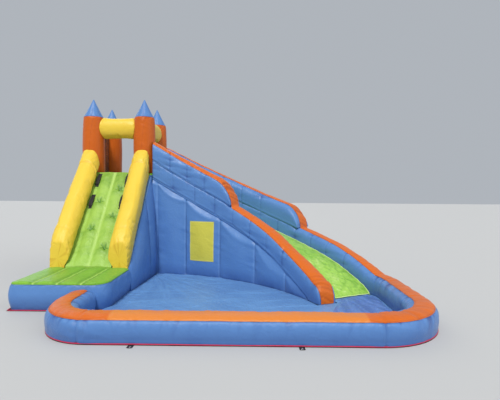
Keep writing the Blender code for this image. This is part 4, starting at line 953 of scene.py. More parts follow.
def make_patch():
    """A plain patch sewn to the wall's second panel."""
    length, foot, head = near_wall_radius * slide_turn, 0.245, 0.84
    share, height = np.linspace(0.2145, 0.355, 44), np.linspace(foot, head, 60)[None, :]
    top = lane_top(share, True)[:, None] - lane_thickness
    grid, out, _, _ = wall_grid(share, (height - bed_height) / (top - bed_height), True)
    edge_x = np.minimum(share - share[0], share[-1] - share)[:, None] * length
    edge_z = np.minimum(height - foot, head - height)
    edge = np.minimum(edge_x, edge_z)
    off = 0.0016 + 0.0006 * folds(edge, np.where(edge_x < edge_z, height, share[:, None] * length),
                                  grid, 0.03, 0.03, 91)
    stitch = bell(edge - 0.01, 0.004)
    item = slab("wall_patch_cloth", grid + out * (off - 0.0005 * stitch)[..., None], 0.0014,
                "patch_cloth", {"crease": 0.5 * stitch, "hem": edge}, outward=out)
    dress(item, "yellow_patch", ["wall_patch"], flat=(0.3955, 0.595), on="slide_block_2_skin")


def make_lane():
    """The crumpled lane between the guards, with its bound sides and its wavy end."""
    total, width = slide_length, 2 * lane_half
    edges = ((lane_outer_radius - seam_gap, False), (lane_inner_radius + seam_gap, True))
    share, across = places(0, total, 0.013) / total, np.linspace(0, 1, 47)
    s, a = share[:, None] + 0 * across, across + 0 * share[:, None]
    height = lane_top(s, True) * (1 - a) + lane_top(s, False) * a
    grid = slide_place(edges[1][0] + (edges[0][0] - edges[1][0]) * a, s, height)
    run, side = s * total, np.minimum(a, 1 - a) * 2 * lane_half
    crumple = (0.0065 * creases(grid, 0.085, 21) + 0.0035 * creases(grid, 0.048, 23)
               + 0.0045 * lumps(grid, 0.16, 22))
    off = 0.012 * np.sin(math.pi * a) + crumple * ease(side / 0.03)
    for k, row in enumerate(np.arange(0.06, 0.97, 0.065)):
        x, y = (a - (0.3, 0.7)[k % 2]) * width, run - row * total
        away = np.hypot(x, y)
        off -= 0.014 * bell(away, 0.022)
        off += 0.003 * np.cos(5 * np.arctan2(y, x)) * bell(away - 0.03, 0.02)
    off += 0.004 * folds(side, run, grid, 0.035, 0.05, 24) * ease(side / 0.01)
    off -= 0.01 * bell(side, 0.012) * 0.6
    grid[..., 2] += off
    near_end, low = np.clip((run - total + 0.1) / 0.1, 0, 1), bed_height + 0.006
    grid[..., 2] = low + (grid[..., 2] - low) * (0.22 + 0.78 * np.sqrt(1 - near_end**2))
    # Painted shade in the crumpled cloth's valleys, painted highlights on its ridges, and a paler
    # bound edge
    fold = np.clip(0.9 * (creases(grid, 0.075, 27) - 0.35) + 0.7 * (creases(grid, 0.04, 28) - 0.42)
                   - 60 * (crumple - 0.006), 0, 0.55) * ease(side / 0.02)
    crease = np.clip(bell(side, 0.01) * 0.5 + 0.9 * ease((crumple - 0.0055) / 0.004)
                     + 0.3 * lumps(grid, 0.15, 29), 0, 0.9) * (1 - fold)
    under = np.stack([slide_place(np.full_like(share, r), share, support_top(share, i) + lay_gap)
                      for r, i in edges], axis=1)
    padded_skin("slide_lane", abreast(grid, under), "lane",
                shown_values(under, crease=crease, fold=fold))
    look = {"finish": "edging_cloth", "slot": "green_fabric"}
    for name, column in (("lane_binding_near", 1), ("lane_binding_far", -2)):
        bead(name, grid[:, column] + [0, 0, 0.004], 0.0045, wobble=0.0015, **look)
    end = grid[-1] + [0, 0, 0.006]
    end += np.array([math.cos(slide_turn), -math.sin(slide_turn), 0]) * (
        0.008 + 0.006 * lumps(end, 0.05, 33))[:, None]
    bead("lane_end_binding", end[1:-1], 0.006, wobble=0.002, **look)


def bead(name, line, radius, finish, slot, wobble=0.0, closed=False, sides=8, nodes=()):
    """An edge binding along a line of points, round or with its own width and height."""
    line = line + wobble * np.stack([lumps(line, 0.12, s) for s in (61, 62, 63)], -1)
    if closed:
        ahead = np.roll(line, -1, 0) - np.roll(line, 1, 0)
    else:
        ahead = np.gradient(line, axis=0)
    ahead /= np.linalg.norm(ahead, axis=1, keepdims=True) + 1e-12
    side = np.cross(ahead, [0, 0, 1.0])
    side /= np.linalg.norm(side, axis=1, keepdims=True) + 1e-12
    up = np.cross(side, ahead)
    a = (np.arange(sides) * 2 * math.pi / sides)[None, :, None]
    wide, tall = radius if isinstance(radius, tuple) else (radius, radius)
    ring = line[:, None] + wide * side[:, None] * np.cos(a) + tall * up[:, None] * np.sin(a)
    item = closed_skin(name, ring, finish) if closed else tube(
        name, ring, finish, {}, (wide * 0.5, wide * 0.5))
    dress(item, slot, nodes)


# The pool


def rim_path(step):
    """Middle line of the rim: places, outward vectors, distances, and where its parts join."""
    joint = slide_place(outer_guard_radius, np.array(1.0), 0.0)
    heading = np.array([math.sin(slide_turn), math.cos(slide_turn)])
    blend = joint[:2] - heading * rim_blend_radius
    right_x = blend[0] + rim_blend_radius
    start_y = platform_front_y - platform_bulge - seam_gap
    left = np.array([rim_left_x + rim_left_radius, rim_front_y + rim_left_radius])
    right = np.array([right_x - rim_right_radius, rim_front_y + rim_right_radius])
    spots, outs, joints = [], [], []

    def arc(centre, radius, first, last):
        count = int(abs(last - first) * radius / step) + 2
        for angle in np.linspace(first, last, count)[:-1]:
            out = np.array([math.cos(angle), math.sin(angle)])
            spots.append(centre + out * radius)
            outs.append(out)

    def line(a, b, out):
        count = int(np.hypot(*(np.array(b) - a)) / step) + 2
        for k in range(count - 1):
            spots.append(np.array(a) + (np.array(b) - a) * k / (count - 1))
            outs.append(np.array(out, float))

    line((rim_left_x, start_y), (rim_left_x, left[1]), (-1, 0))
    arc(left, rim_left_radius, math.pi, 1.5 * math.pi)
    joints.append(len(spots))
    line((left[0], rim_front_y), (right[0], rim_front_y), (0, -1))
    joints.append(len(spots))
    arc(right, rim_right_radius, 1.5 * math.pi, 2 * math.pi)
    line((right_x, right[1]), (right_x, blend[1]), (1, 0))
    arc(blend, rim_blend_radius, 0, math.pi / 2 - slide_turn)
    spots.append(joint[:2])
    outs.append(heading)
    return np.array(spots), np.array(outs), joints


def make_rim():
    """The rim in three runs under one skin, and the orange band on its crest."""
    spots, outs, joints = rim_path(0.01)
    half, low = rim_width / 2 - seam_gap, bed_height + seam_gap
    grid = np.zeros((len(spots), len(tube_ring), 3))
    grid[..., :2] = spots[:, None] + outs[:, None] * half * tube_ring[None, :, :1]
    meeting = ease(1 - np.arange(len(spots))[::-1] / 33)
    high = rim_height + meeting * (lane_top(1.0, False) + guard_rise - rim_height)
    grid[..., 2] = ((low + high) / 2)[:, None] + ((high - low) / 2)[:, None] * tube_ring[None, :, 1]
    run = lengths(grid, 0).mean(axis=1)
    bend = np.zeros(len(spots))
    bend[:joints[0]], bend[joints[1]:] = 1, 0.9
    bend = np.convolve(np.pad(bend, 30, mode="edge"), np.ones(61) / 61, "valid")
    cross = [0.0, run[joints[0]] - 0.05, run[joints[1]] + 0.02, run[joints[1]] + 0.95]
    columns = strip_columns[False]
    skin, out, along, around, fold = dress_tube(grid, cross, columns, 300, 0.003, 0.0045, 0.1)
    first, last = (around[:, column][:, None] for column in columns)
    edge = np.minimum(np.abs(around - first), np.abs(around - last))
    more, wide = 0, bend[:, None]
    fine = 0.3 + 0.7 * wide
    # Wrinkles, strongest at the bends, with painted shade in their troughs
    for rise, shade, *pattern in ((0.005 * wide, 1.0 * wide, 0.052, 0.13, 310),
                                  (0.0022, 0.0, 0.055, 0.07, 311),
                                  (0.0034 * fine, 1.5 * fine, 0.028, 0.09, 312)):
        more = more + rise * folds(edge, along, grid, *pattern)
        fold = np.clip(fold + shade * pinched(edge, along, grid, *pattern), 0, 1)
    more *= 1 - 0.6 * np.maximum(bell(edge, 0.012), (around > first) & (around < last))
    skin = skin + out * more[..., None]
    skin[..., 2] = np.maximum(skin[..., 2], low)
    ends = [0, *joints, len(spots) - 1]
    for name, a, b in zip(("rim_left", "rim_front", "rim_right"), ends, ends[1:]):
        part = skin[a:b + 1].copy()
        for end, inner in ((0, 1), (-1, -2)):
            toward = part[inner] - part[end]
            part[end] += toward / (np.linalg.norm(toward, axis=1, keepdims=True) + 1e-9) * 0.0003
        padded_skin(name, part, "blue", {"fold": fold[a:b + 1]})
    # Painted sky reflection: the band is paler along the straight front
    front = ease((spots[:, 0] - 0.86) / 0.02) * ease((3.13 - spots[:, 0]) / 0.02)
    front *= spots[:, 1] < rim_front_y + 0.2
    strip_over("rim_strip", "rim_front", [(skin, out, 0.28 * bend + 0.05)], False, 150,
               0.62 * front)


def pool_outline():
    """The floor's outline: along the rim, round the slide's toe and along the walls."""
    spots, outs, _ = rim_path(0.06)
    gap = floor_gap
    foot = spots - outs * (foot_half + gap)
    foot[0, 1] = platform_front_y - gap
    toe = 1 + (nose_length + gap) / (inner_guard_radius * slide_turn)
    step = 1 + gap / slide_length
    corner = [flat_place(r, s) for r, s in (
        (lane_outer_radius - gap, step), (lane_inner_radius + gap, step),
        (lane_inner_radius + gap, toe), (near_wall_radius - gap, toe))]
    wall = flat_place(near_wall_radius - gap, np.linspace(1, panel_seams[0], 24))
    side = [(climb_side(y, 0.9, 0.0) + gap, y) for y in (tower_front_y - gap, climb_foot_y)]
    return np.array([*foot, *corner, *wall, *side,
                     (platform_half_width + gap, climb_foot_y), (platform_half_width + gap, -2.18),
                     (platform_half_width - 0.06, -2.36), (0.46, platform_front_y - gap)])


def floor_height(flat, off, run):
    """Lift of the pool floor: fine wrinkles across it and others that fan out of a corner."""
    points = in_space(flat)
    corner = flat - np.array([0.62, -0.62])
    angle = np.arctan2(corner[:, 1], corner[:, 0]) + 0.16 * lumps(points, 0.45, 76)
    far = np.hypot(*corner.T)
    fan = np.column_stack([angle * 1.2, far * 0.14, 0 * far])
    cos, sin = math.cos(0.2), math.sin(0.2)
    turned = points @ np.array([[cos, -sin, 0], [sin, cos, 0], [0, 0, 1]])
    close = np.exp(-far / 1.1)
    long_ridge = creases(turned * np.array([0.22, 1.0, 1.0]), 0.15, 71)
    fan_ridge = creases(fan, 0.1, 72)
    lift = 0.01 * long_ridge + (0.003 + 0.02 * close) * fan_ridge
    lift += 0.004 * (1 + lumps(points, 0.3, 73)) + 0.003 * creases(points, 0.12, 74)
    lift += 0.007 * np.clip(folds(off, run, points, 0.07, 0.14, 75), 0, 1)
    # Painted shade in the valleys between the wrinkles
    fold = np.clip(0.3 * (0.5 - long_ridge) + (0.02 + 1.1 * close) * (0.3 - fan_ridge), 0, 0.5)
    rise = lift * ease(off / 0.03) * 0.9
    return bed_height + 0.0006 + rise + 0.004 * np.exp(-off / 0.02), fold


def make_pool_floor():
    outline = pool_outline()
    item = cut_cloth("pool_floor_cloth", outline, 0.018, floor_height, 0.0012, "pool_cloth")
    lay_out(item, "pool_floor", "pool_blue", outline, rests_on=["ground_sheet_cloth"])


def make_splash_mat():
    """The darker mat that spreads from the end of the lane, pleated towards the rim."""
    spots, outs, joints = rim_path(0.1)
    right = slice(joints[1], len(spots) - 3)
    side = (spots[right] - outs[right] * (foot_half + 0.04))[::-1]
    step = 1 + 0.0016 / slide_length
    near, far, toe = (flat_place(r, s) for r, s in (
        (lane_inner_radius + 0.04, step), (lane_outer_radius - 0.04, step),
        (lane_inner_radius + 0.04, 1 + nose_length / slide_length)))
    outline = np.array([near, far, *side, (toe[0] - 0.38, side[-1][1]), toe])
    source = near * 0.5 + far * 0.5 + [-0.1, 0.3]

    def lift(flat, off, run):
        x, y = (flat - source).T
        fan = np.column_stack([np.arctan2(y, x) * 1.5, np.hypot(x, y) * 0.15, 0 * run])
        base, _ = floor_height(flat, np.full(len(flat), 1.0), run)
        ridge = creases(fan, 0.11, 81)
        rise = 0.02 * ridge + 0.005 * creases(in_space(flat), 0.12, 82)
        # Painted shade in the valleys between the pleats
        return base + 0.003 + rise * ease(off / 0.05), np.clip(1.3 * (0.35 - ridge), 0, 0.7)

    item = cut_cloth("splash_mat_cloth", outline, 0.02, lift, 0.0015, "mat_cloth")
    lay_out(item, "splash_mat", "mat_blue", outline, rests_on=["pool_floor_cloth"])


def sheet_outline(lip, step=0.05):
    """The outline of everything on the ground, grown by a lip."""
    spots, outs, _ = rim_path(step)
    foot = foot_half + lip
    back = flat_place(far_foot_radius + lip, np.linspace(1, 0, 60))
    side_x, back_y, front_y = tower_half_width + lip, tower_half_depth + lip, tower_front_y + lip
    return np.array([
        (rim_left_x - foot, platform_front_y - lip), *(spots + outs * foot)[1:], *back,
        (side_x, back_y), (-side_x, back_y), (-side_x, front_y),
        (-climb_side(tower_front_y, 0.9, 0.0) - lip, front_y),
        (-climb_side(climb_foot_y, 0.9, 0.0) - lip, climb_foot_y),
        (-platform_half_width - lip, platform_front_y - lip)])


tab_length = 0.06
tabs = {"front_left": ((1.08761, -3.3223), (0, -1)), "front_right": ((2.53974, -3.3223), (0, -1)),
        "pool_right": ((3.99489, -2.555), (1, 0)), "step": ((-0.579, -1.985), (-1, 0)),
        "tower": ((-0.619, 0.0), (-1, 0)), "slide": ((2.54927, 0.06589), (0.5373, 0.8434))}


def make_ground_sheet():
    """The ground sheet and its anchor tabs with bright rings."""
    outline = sheet_outline(sheet_lip)
    item = cut_cloth("ground_sheet_cloth", outline, 0.05, lambda flat, off, run: (
        0.0012 * (1 + lumps(in_space(flat), 0.1, 401)) * np.exp(-off / 0.03), 0 * off),
        0.0009, "sheet_cloth")
    lay_out(item, "ground_sheet", "black_webbing", outline)
    wide, trim = 0.025, 0.006
    for name, (spot, out) in tabs.items():
        spot, out = np.array(spot), np.array(out, float)
        out /= np.linalg.norm(out)
        side = np.array([-out[1], out[0]])
        root, tip = spot - out * (0.6 * tab_length) - out * 0.008, spot + out * (0.4 * tab_length)
        corners = [place + side * across for place, across in (
            (root, -wide), (tip - out * trim, -wide), (tip, 0.012 - wide), (tip, wide - 0.012),
            (tip - out * trim, wide), (root, wide))]
        tab = cut_cloth(f"anchor_tab_{name}", corners, 0.006, lambda flat, off, run: (
            0.001 + 0.0006 * lumps(in_space(flat), 0.03, 405), 0 * off), 0.0018, "web_cloth",
            [spot + circle(0.0085, 18)])
        dress(tab, "black_webbing", flat=(0.05, 0.068), held="laid", area=0.003)
        ring = add_shape(bpy.ops.mesh.primitive_torus_add, (1.0, 1.0, 0.75), major_segments=28,
                         minor_segments=10, major_radius=0.0115, minor_radius=0.0022,
                         location=(*spot, 0.0035))
        settle(ring, f"eyelet_ring_{name}", "bright_steel", "steel")


def clear_choice():
    if bpy.context.object and bpy.context.object.mode != "OBJECT":
        bpy.ops.object.mode_set(mode="OBJECT")
    bpy.ops.object.select_all(action="DESELECT")


def add_shape(primitive, stretch, bevel=None, **settings):
    """Adds a primitive, stretches its mesh and bevels its edges."""
    clear_choice()
    primitive(**settings)
    item = bpy.context.object
    bpy.ops.object.mode_set(mode="EDIT")
    bpy.ops.mesh.select_all(action="SELECT")
    bpy.ops.transform.resize(value=stretch)
    if bevel:
        bpy.ops.mesh.bevel(offset=bevel, segments=2, affect="EDGES")
    bpy.ops.object.mode_set(mode="OBJECT")
    return item


def settle(item, name, finish, slot):
    """Puts a finished hand-made piece's place into its mesh, and gives it its finish."""
    clear_choice()
    item.select_set(True)
    bpy.context.view_layer.objects.active = item
    bpy.ops.object.transform_apply(location=True, rotation=True, scale=True)
    bpy.ops.object.shade_smooth_by_angle(angle=math.radians(40))
    item.name = item.data.name = name
    item.data.materials.clear()
    item.data.materials.append(bpy.data.materials[finish])
    dress(item, slot)


def make_piping():
    fine = fine_loop(sheet_outline(sheet_lip - piping_radius, 0.02), 0.02)
    smooth = sum(np.roll(fine, k, 0) for k in (-1, 0, 1)) / 3
    points = np.column_stack([smooth, np.full(len(smooth), bed_height + piping_radius)])
    points[:, 2] += 0.0012 * (1 + lumps(points, 0.15, 66))
    bead("base_piping_cord", points, piping_radius, "piping_cloth", "red_piping", 0.0008,
         closed=True, nodes=["base_piping"])


# The climbing wall


slope_up = np.array([0, math.cos(climb_angle), math.sin(climb_angle)])
slope_normal = np.array([0, -math.sin(climb_angle), math.cos(climb_angle)])


def slope_height(y):
    return platform_height + climb_rise * (y - climb_foot_y) / climb_run


def climb_side(y, flare, rise):
    """Half width of the climbing block at a height."""
    share = (y - climb_foot_y) / climb_run
    half = ramp_half_width + rail_width + 0.03 * share
    stand = 0.035 + 0.05 * share
    first = np.where(share < side_seam_share, 0.0, side_seam_share)
    last = np.where(share < side_seam_share, side_seam_share, 1.0)
    t = np.clip((share - first) / (last - first), 0, 1)
    swell = np.maximum(np.sin(math.pi * t) * np.sin(math.pi * rise), 0)
    return half + stand * flare + 0.03 * swell


def make_climb_body():
    flare = smooth_line(((0.9, 0.0), (1.0, 0.2), (0.8, 0.5), (0.45, 0.8), (0.0, 1.0)), 13)
    seam_y = climb_foot_y + climb_run * side_seam_share
    y = places(climb_foot_y, climb_back_y, 0.016, [seam_y])
    yy, top = (v[:, None] + 0 * flare[:, 0] for v in (y, slope_height(y) - ramp_drop))
    z = bed_height + (top - bed_height) * flare[:, 1]
    side = np.stack([climb_side(yy, *flare.T), yy, z], -1)
    foot, head, away = z - bed_height, top - z, yy - seam_y
    off = seam(away, z, side, 0.012, 0.016, 0.0045, 0.045, 0.08, 411)
    off += seam(foot, yy, side, 0.0, 0.01, 0.004, 0.05, 0.07, 412)
    off += 0.004 * folds(head, yy, side, 0.045, 0.08, 413)
    off += 0.0035 * folds(climb_back_y - yy, z, side, 0.05, 0.09, 414)
    off += 0.0035 * lumps(side, 0.3, 415) + 0.0015 * lumps(side, 0.1, 416)
    off *= ease(foot / 0.015) * ease(head / 0.015)
    side = side + out_of(side, [1, 0, 0]) * off[..., None]
    # Darker seam line, and painted shade where the side meets the ground
    mark = np.clip(0.5 * bell(away, 0.007) + 0.7 * bell(foot, 0.012), 0, 1)
    ring, values = between_walls(side, side * [-1, 1, 1], 7, fold=(mark, mark))
    padded_skin("climb_body", ring, "blue", values)


def on_slope(x, along, out):
    """Points by their distance up the climbing surface and their height off it."""
    x, along, out = np.broadcast_arrays(x, along, out)
    base = np.stack([x, np.full(x.shape, climb_foot_y), np.full(x.shape, platform_height)], -1)
    return base + along[..., None] * slope_up + out[..., None] * slope_normal


def make_ramp():
    """The climbing surface: two channels with sewn tufts and a pale seam between them."""
    half = np.concatenate([[0.006, 0.014], np.linspace(0.026, ramp_half_width - 0.012, 26),
                           [ramp_half_width - seam_gap]])
    x = np.concatenate([-half[::-1], [0], half])
    y = np.linspace(climb_foot_y, climb_back_y, 128)
    xx, yy = x[None] + 0 * y[:, None], y[:, None] + 0 * x[None]
    along = (yy - climb_foot_y) / climb_run * climb_length
    t = np.clip((np.abs(xx) - ramp_swell_start) / (ramp_swell_end - ramp_swell_start), 0, 1)
    flat = np.stack([xx, along, 0 * xx], -1)
    swell = ramp_crown * np.sin(math.pi * t) ** 0.8
    # Painted shade: darker in the creases and towards the top of the ramp, with some random tone
    fold = np.clip(0.35 * (creases(flat, 0.11, 506) - 0.3) + 0.2 * lumps(flat, 0.2, 507)
                   + 0.36 * ease((along / climb_length - 0.74) / 0.12), 0, 0.6)
    for number, (side, share) in enumerate(ramp_tufts):
        dx, dy = xx - (0.14 if side > 0 else -0.107), along - climb_length * (share - 0.015)
        away = np.hypot(dx, dy)
        star = np.cos(2.5 * np.arctan2(dy, dx) + number) ** 2
        swell -= 0.026 * bell(away, 0.026) + 0.014 * star * bell(away - 0.032, 0.026)
        below = dy + 0.075 + 0.015 * lumps(flat, 0.07, 508)
        band = bell(below, 0.05) * (np.sign(xx) == side)
        swell += 0.007 * band
        # Painted shade in each tuft's dimple and pleats, in the band below it and round it
        fold += 1.5 * bell(away, 0.018) + 1.1 * star**3 * bell(away - 0.034, 0.022)
        fold += 0.35 * band * ease(t * 4) + 0.25 * bell(away, 0.07)
    swell += (0.003 * creases(flat, 0.09, 501) + 0.003 * lumps(flat, 0.16, 502)
              + 0.0018 * creases(flat, 0.05, 503)) * ease(t * 6)
    swell += seam(np.abs(xx), along, flat, 0.003, 0.02, 0.0035, 0.04, 0.04, 504)
    ends = ease((climb_length - along) / 0.13) * ease((along + 0.02) / 0.1)
    swell = np.clip(swell, -0.018, 0.032) * (0.12 + 0.88 * ends)
    top = np.stack([xx, yy, slope_height(yy) + swell / math.cos(climb_angle)], -1)
    base = slope_height(y) - ramp_thickness / math.cos(climb_angle)
    low = np.stack([np.column_stack([s * x[0] + 0 * y, y, base]) for s in (-1, 1)], axis=1)
    padded_skin("climb_ramp", abreast(top, low), "ramp", shown_values(
        low, crease=0.5 * bell(xx, 0.02), fold=fold * (np.abs(xx) > 0.014)))


def held_rows(off):
    """The points that a skin is sewn down at, along its first and last rings."""
    held = np.zeros_like(off)
    held[:2], held[-2:] = 1, 1
    return held


def make_rails():
    """Two boxy tubes beside the climbing wall, upright at both ends."""
    ring = tube_ring * 0.5 + pressed_ring * 0.5
    place = np.arange(len(ring)) / steps_per_share
    lean = np.interp(place, np.arange(8), (0, 0, 0, 1.0, 0.8, 0.3, 0, 0))
    half, bend = rail_width / 2 - seam_gap, 0.15
    start = climb_foot_y + bend * (1 - np.cos(np.linspace(0, math.pi / 2, 18)))
    y = np.concatenate([start, places(climb_foot_y + bend, climb_back_y, 0.014)[1:]])
    inset = 0.02 * (1 - np.sqrt(1 - np.clip((climb_foot_y + bend - y) / bend, 0, 1) ** 2))
    low = slope_height(y) - ramp_drop + seam_gap / math.cos(climb_angle)
    high = slope_height(y) + rail_height - inset * 3.4
    for name, side, seed in (("rail_left", -1, 520), ("rail_right", 1, 540)):
        grid = np.zeros((len(y), len(ring), 3))
        grid[..., 0] = side * (rail_spread - (half - inset)[:, None] * ring[None, :, 0]
                               - rail_lean * lean[None])
        grid[..., 1] = y[:, None]
        grid[..., 2] = ((low + high) / 2)[:, None] + ((high - low) / 2)[:, None] * ring[None, :, 1]
        around = around_from_crest(grid)
        along = (grid[..., 1] - climb_foot_y) / math.cos(climb_angle)
        foot = (along, around, grid, 0.026, 0.1, seed + 2)
        head = (along - along.max(), around, grid, 0.04, 0.1, seed + 3)
        off = 0.0035 * lumps(grid, 0.3, seed) + 0.0013 * lumps(grid, 0.1, seed + 1)
        off += 0.0036 * folds(*foot) * ease(along / 0.02)
        off += 0.0055 * folds(*head)
        # Painted shade in the troughs of the folds at both ends
        mark, fold = np.zeros_like(off), 0.7 * pinched(*foot) + 0.6 * pinched(*head)
        for k, spot in enumerate((0.2, 1.36)):
            away = along - spot
            off += seam(away, around, grid, 0.0045, 0.01, 0.004, 0.03, 0.05, seed + 4 + k)
            mark += 0.6 * bell(away, 0.006)
        for column in (2 * steps_per_share, 12 * steps_per_share):
            away = around - around[:, column][:, None]
            off += seam(away, along, grid, 0.003, 0.008, 0.0045, 0.04, 0.05, seed + 8)
            mark += 0.4 * bell(away, 0.005)
            near_foot = 0.25 + np.exp(-along / 0.35)
            # Painted shade in the fold troughs beside the side seams, most near the foot
            fold += 0.7 * pinched(away, along, grid, 0.04, 0.05, seed + 8) * near_foot
        skin = grid + out_of(grid) * np.minimum(off - 0.0012, 0.006)[..., None]
        skin[..., 2] = np.maximum(skin[..., 2], low[:, None])
        held = held_rows(off)
        held[:, ring[:, 1] < -0.75] = 1
        padded_skin(name, skin, "yellow", {
            "crease": np.clip(mark, 0, 1), "fold": np.clip(fold, 0, 1), "held": held}, (0.01, 0.0))


def make_handles():
    """Black webbing handles that bow up between two sewn feet."""
    reach, across = handle_length / 2 - handle_foot, np.linspace(-1, 1, 9)
    a, flat = np.linspace(0, math.pi, 25), [0.002, 0.002]
    foot = np.array([handle_length / 2 - 0.012, handle_length / 2])
    along = np.concatenate([-foot[::-1], -reach * np.cos(a), foot])[:, None]
    rise = np.concatenate([flat, handle_rise * 0.5 * np.sin(a) ** 0.7 + 0.002, flat])[:, None]
    pinch = 1 - 0.1 * bell(np.abs(along) - reach, 0.02)
    v = np.linspace(-0.5, 0.5, 24)[:, None]
    under = "climb_ramp_skin"
    for side, right in (("left", -1), ("right", 1)):
        for level, share in zip(("low", "high"), handle_shares):
            name, middle = f"handle_{side}_{level}", climb_length * share
            x = right * handle_spread + handle_width * 0.58 * across[None] * pinch
            grid = on_slope(x, middle + along, rise + 0.0012 * (1 - across[None] ** 2) + 0.0012)
            stitch = bell(np.abs(np.abs(across)[None] - 0.8) + 0 * x, 0.1)
            item = slab(name + "_web", grid, 0.0032, "web_cloth", {"crease": 0.4 * stitch},
                        outward=out_of(grid, slope_normal))
            dress(item, "black_webbing", [name], flat=(handle_width * 1.16, 0.275), on=under)
            x = right * handle_spread + 0.038 * across[None] * (1 - 0.25 * (2 * np.abs(v)) ** 6)
            rough = lumps(np.stack([x, 0 * x, v + 0 * x], -1), 0.05, 571)
            grid = on_slope(x, middle + (handle_length + 0.01) * v, 0.0002 + 0.0006 * rough)
            base = slab(name + "_base", grid, 0.0015, "web_cloth", outward=0 * grid + slope_normal)
            dress(base, "black_webbing", flat=(0.076, handle_length + 0.01), on=under)


# Step platform, tower and deck


def platform_outline(grow):
    """The step platform's outline: square at the back, with its own radius at each front corner."""
    half, front, back = platform_half_width + grow, platform_front_y - grow, climb_foot_y - seam_gap
    left, right = platform_corners
    a, b = (np.linspace(k * math.pi, (k + 0.5) * math.pi, 9) for k in (1, 1.5))
    corner_a = np.column_stack([-half + left + left * np.cos(a), front + left + left * np.sin(a)])
    corner_b = np.column_stack([half - right + right * np.cos(b),
                                front + right + right * np.sin(b)])

    def line(p, q, count):
        return [np.array(p) + (np.array(q) - p) * k / count for k in range(1, count)]

    return np.array([(half, back), *line((half, back), (-half, back), 16), (-half, back),
                     *line((-half, back), corner_a[0], 46), *corner_a,
                     *line(corner_a[-1], corner_b[0], 50), *corner_b,
                     *line(corner_b[-1], (half, back), 40)])


def make_platform():
    body_top = platform_height - platform_top_thickness - seam_gap
    profile = smooth_line(((0.0, 0.0), (0.8, 0.3), (1.0, 0.6), (0.5, 0.9), (0.0, 1.0)), 7)
    grid = np.array([in_space(platform_outline(platform_bulge * s)) + [
        0, 0, bed_height + (body_top - bed_height) * r] for s, r in profile])
    around, height = lengths(grid, 1), grid[..., 2]
    foot, head = height - bed_height, body_top - height
    off = 0.0045 * folds(head, around, grid, 0.04, 0.07, 601)
    off += 0.0045 * folds(foot, around, grid, 0.05, 0.06, 602)
    off += 0.003 * lumps(grid, 0.25, 603) + 0.0012 * lumps(grid, 0.1, 604)
    off *= ease((climb_foot_y - grid[..., 1]) / 0.03) * (ease(foot / 0.012) * ease(head / 0.012))
    # Painted shade along the body's upper edge, under the top pad
    padded_skin("platform_body", grid + out_of(grid) * off[..., None], "blue",
                {"fold": 0.6 * bell(head, 0.01)})
    channel_pad("platform_top", platform_half_width, (platform_front_y, climb_foot_y - seam_gap),
                body_top + seam_gap, platform_height, 0.02, (platform_corners, (0.0, 0.0)), 620)


def corner_inset(x, half_x, radii):
    """How far a rounded corner draws in each place across a pad."""
    radius = np.where(x > 0, radii[1], radii[0])
    over = np.maximum(np.abs(x) - (half_x - radius), 0)
    return radius - np.sqrt(np.maximum(radius**2 - over**2, 0.0))


def channel_pad(node, half_x, ends, low, high, crown, corners, seed, channels=4):
    """A pad sewn into channels that run front to back, with rolled edges."""
    seams = [half_x * (2 * k / channels - 1) for k in range(1, channels)]
    x = places(-half_x, half_x, 0.014, seams)
    x[0] += 0.0005
    x[-1] -= 0.0005
    front = (ends[0] + corner_inset(x, half_x, corners[0]))[:, None]
    back = (ends[1] - corner_inset(x, half_x, corners[1]))[:, None]
    t = np.concatenate([[0, 0.002, 0.007, 0.016, 0.03], np.linspace(0.045, 0.955, 58),
                        [0.97, 0.984, 0.993, 0.998, 1]])
    xx, yy = x[:, None] + 0 * t, front + (back - front) * t[None]
    edge = np.minimum(np.minimum(yy - front, back - yy), half_x - np.abs(xx) + 0.002)
    wave = np.abs(np.sin(math.pi * channels * (xx / half_x + 1) / 2)) ** 0.6
    height = high - low - crown * (1 - wave)
    roll = np.sqrt(np.clip(1 - (1 - np.clip(edge / 0.03, 0, 1)) ** 2, 0, 1))
    flat = np.stack([xx, yy, 0 * xx], -1)
    swell = (0.0022 * creases(flat, 0.1, seed) + 0.0028 * lumps(flat, 0.18, seed + 1)
             + 0.0016 * creases(flat, 0.05, seed + 2))
    crease, fold = 0 * xx, 0 * xx
    for k, s in enumerate(seams):
        away = xx - s
        swell += 0.0035 * folds(away, yy, flat, 0.036, 0.05, seed + 4 + k) * (np.abs(away) > 0.004)
        crease += bell(away, 0.009)
        # Painted shade beside each seam's valley
        fold += 0.45 * bell(np.abs(away) - 0.03, 0.02)
    swell += 0.003 * folds(edge, xx + yy, flat, 0.04, 0.05, seed + 9)
    z = np.minimum(low + height * (0.3 + 0.7 * roll) + (swell - 0.003) * roll, high + 0.004)
    foot = np.stack([np.column_stack([x, y[:, 0], 0 * x + low]) for y in (back, front)], axis=1)
    padded_skin(node, abreast(np.stack([xx, yy, z], -1), foot), "step",
                shown_values(foot, crease=crease, fold=fold * (1 - crease)))


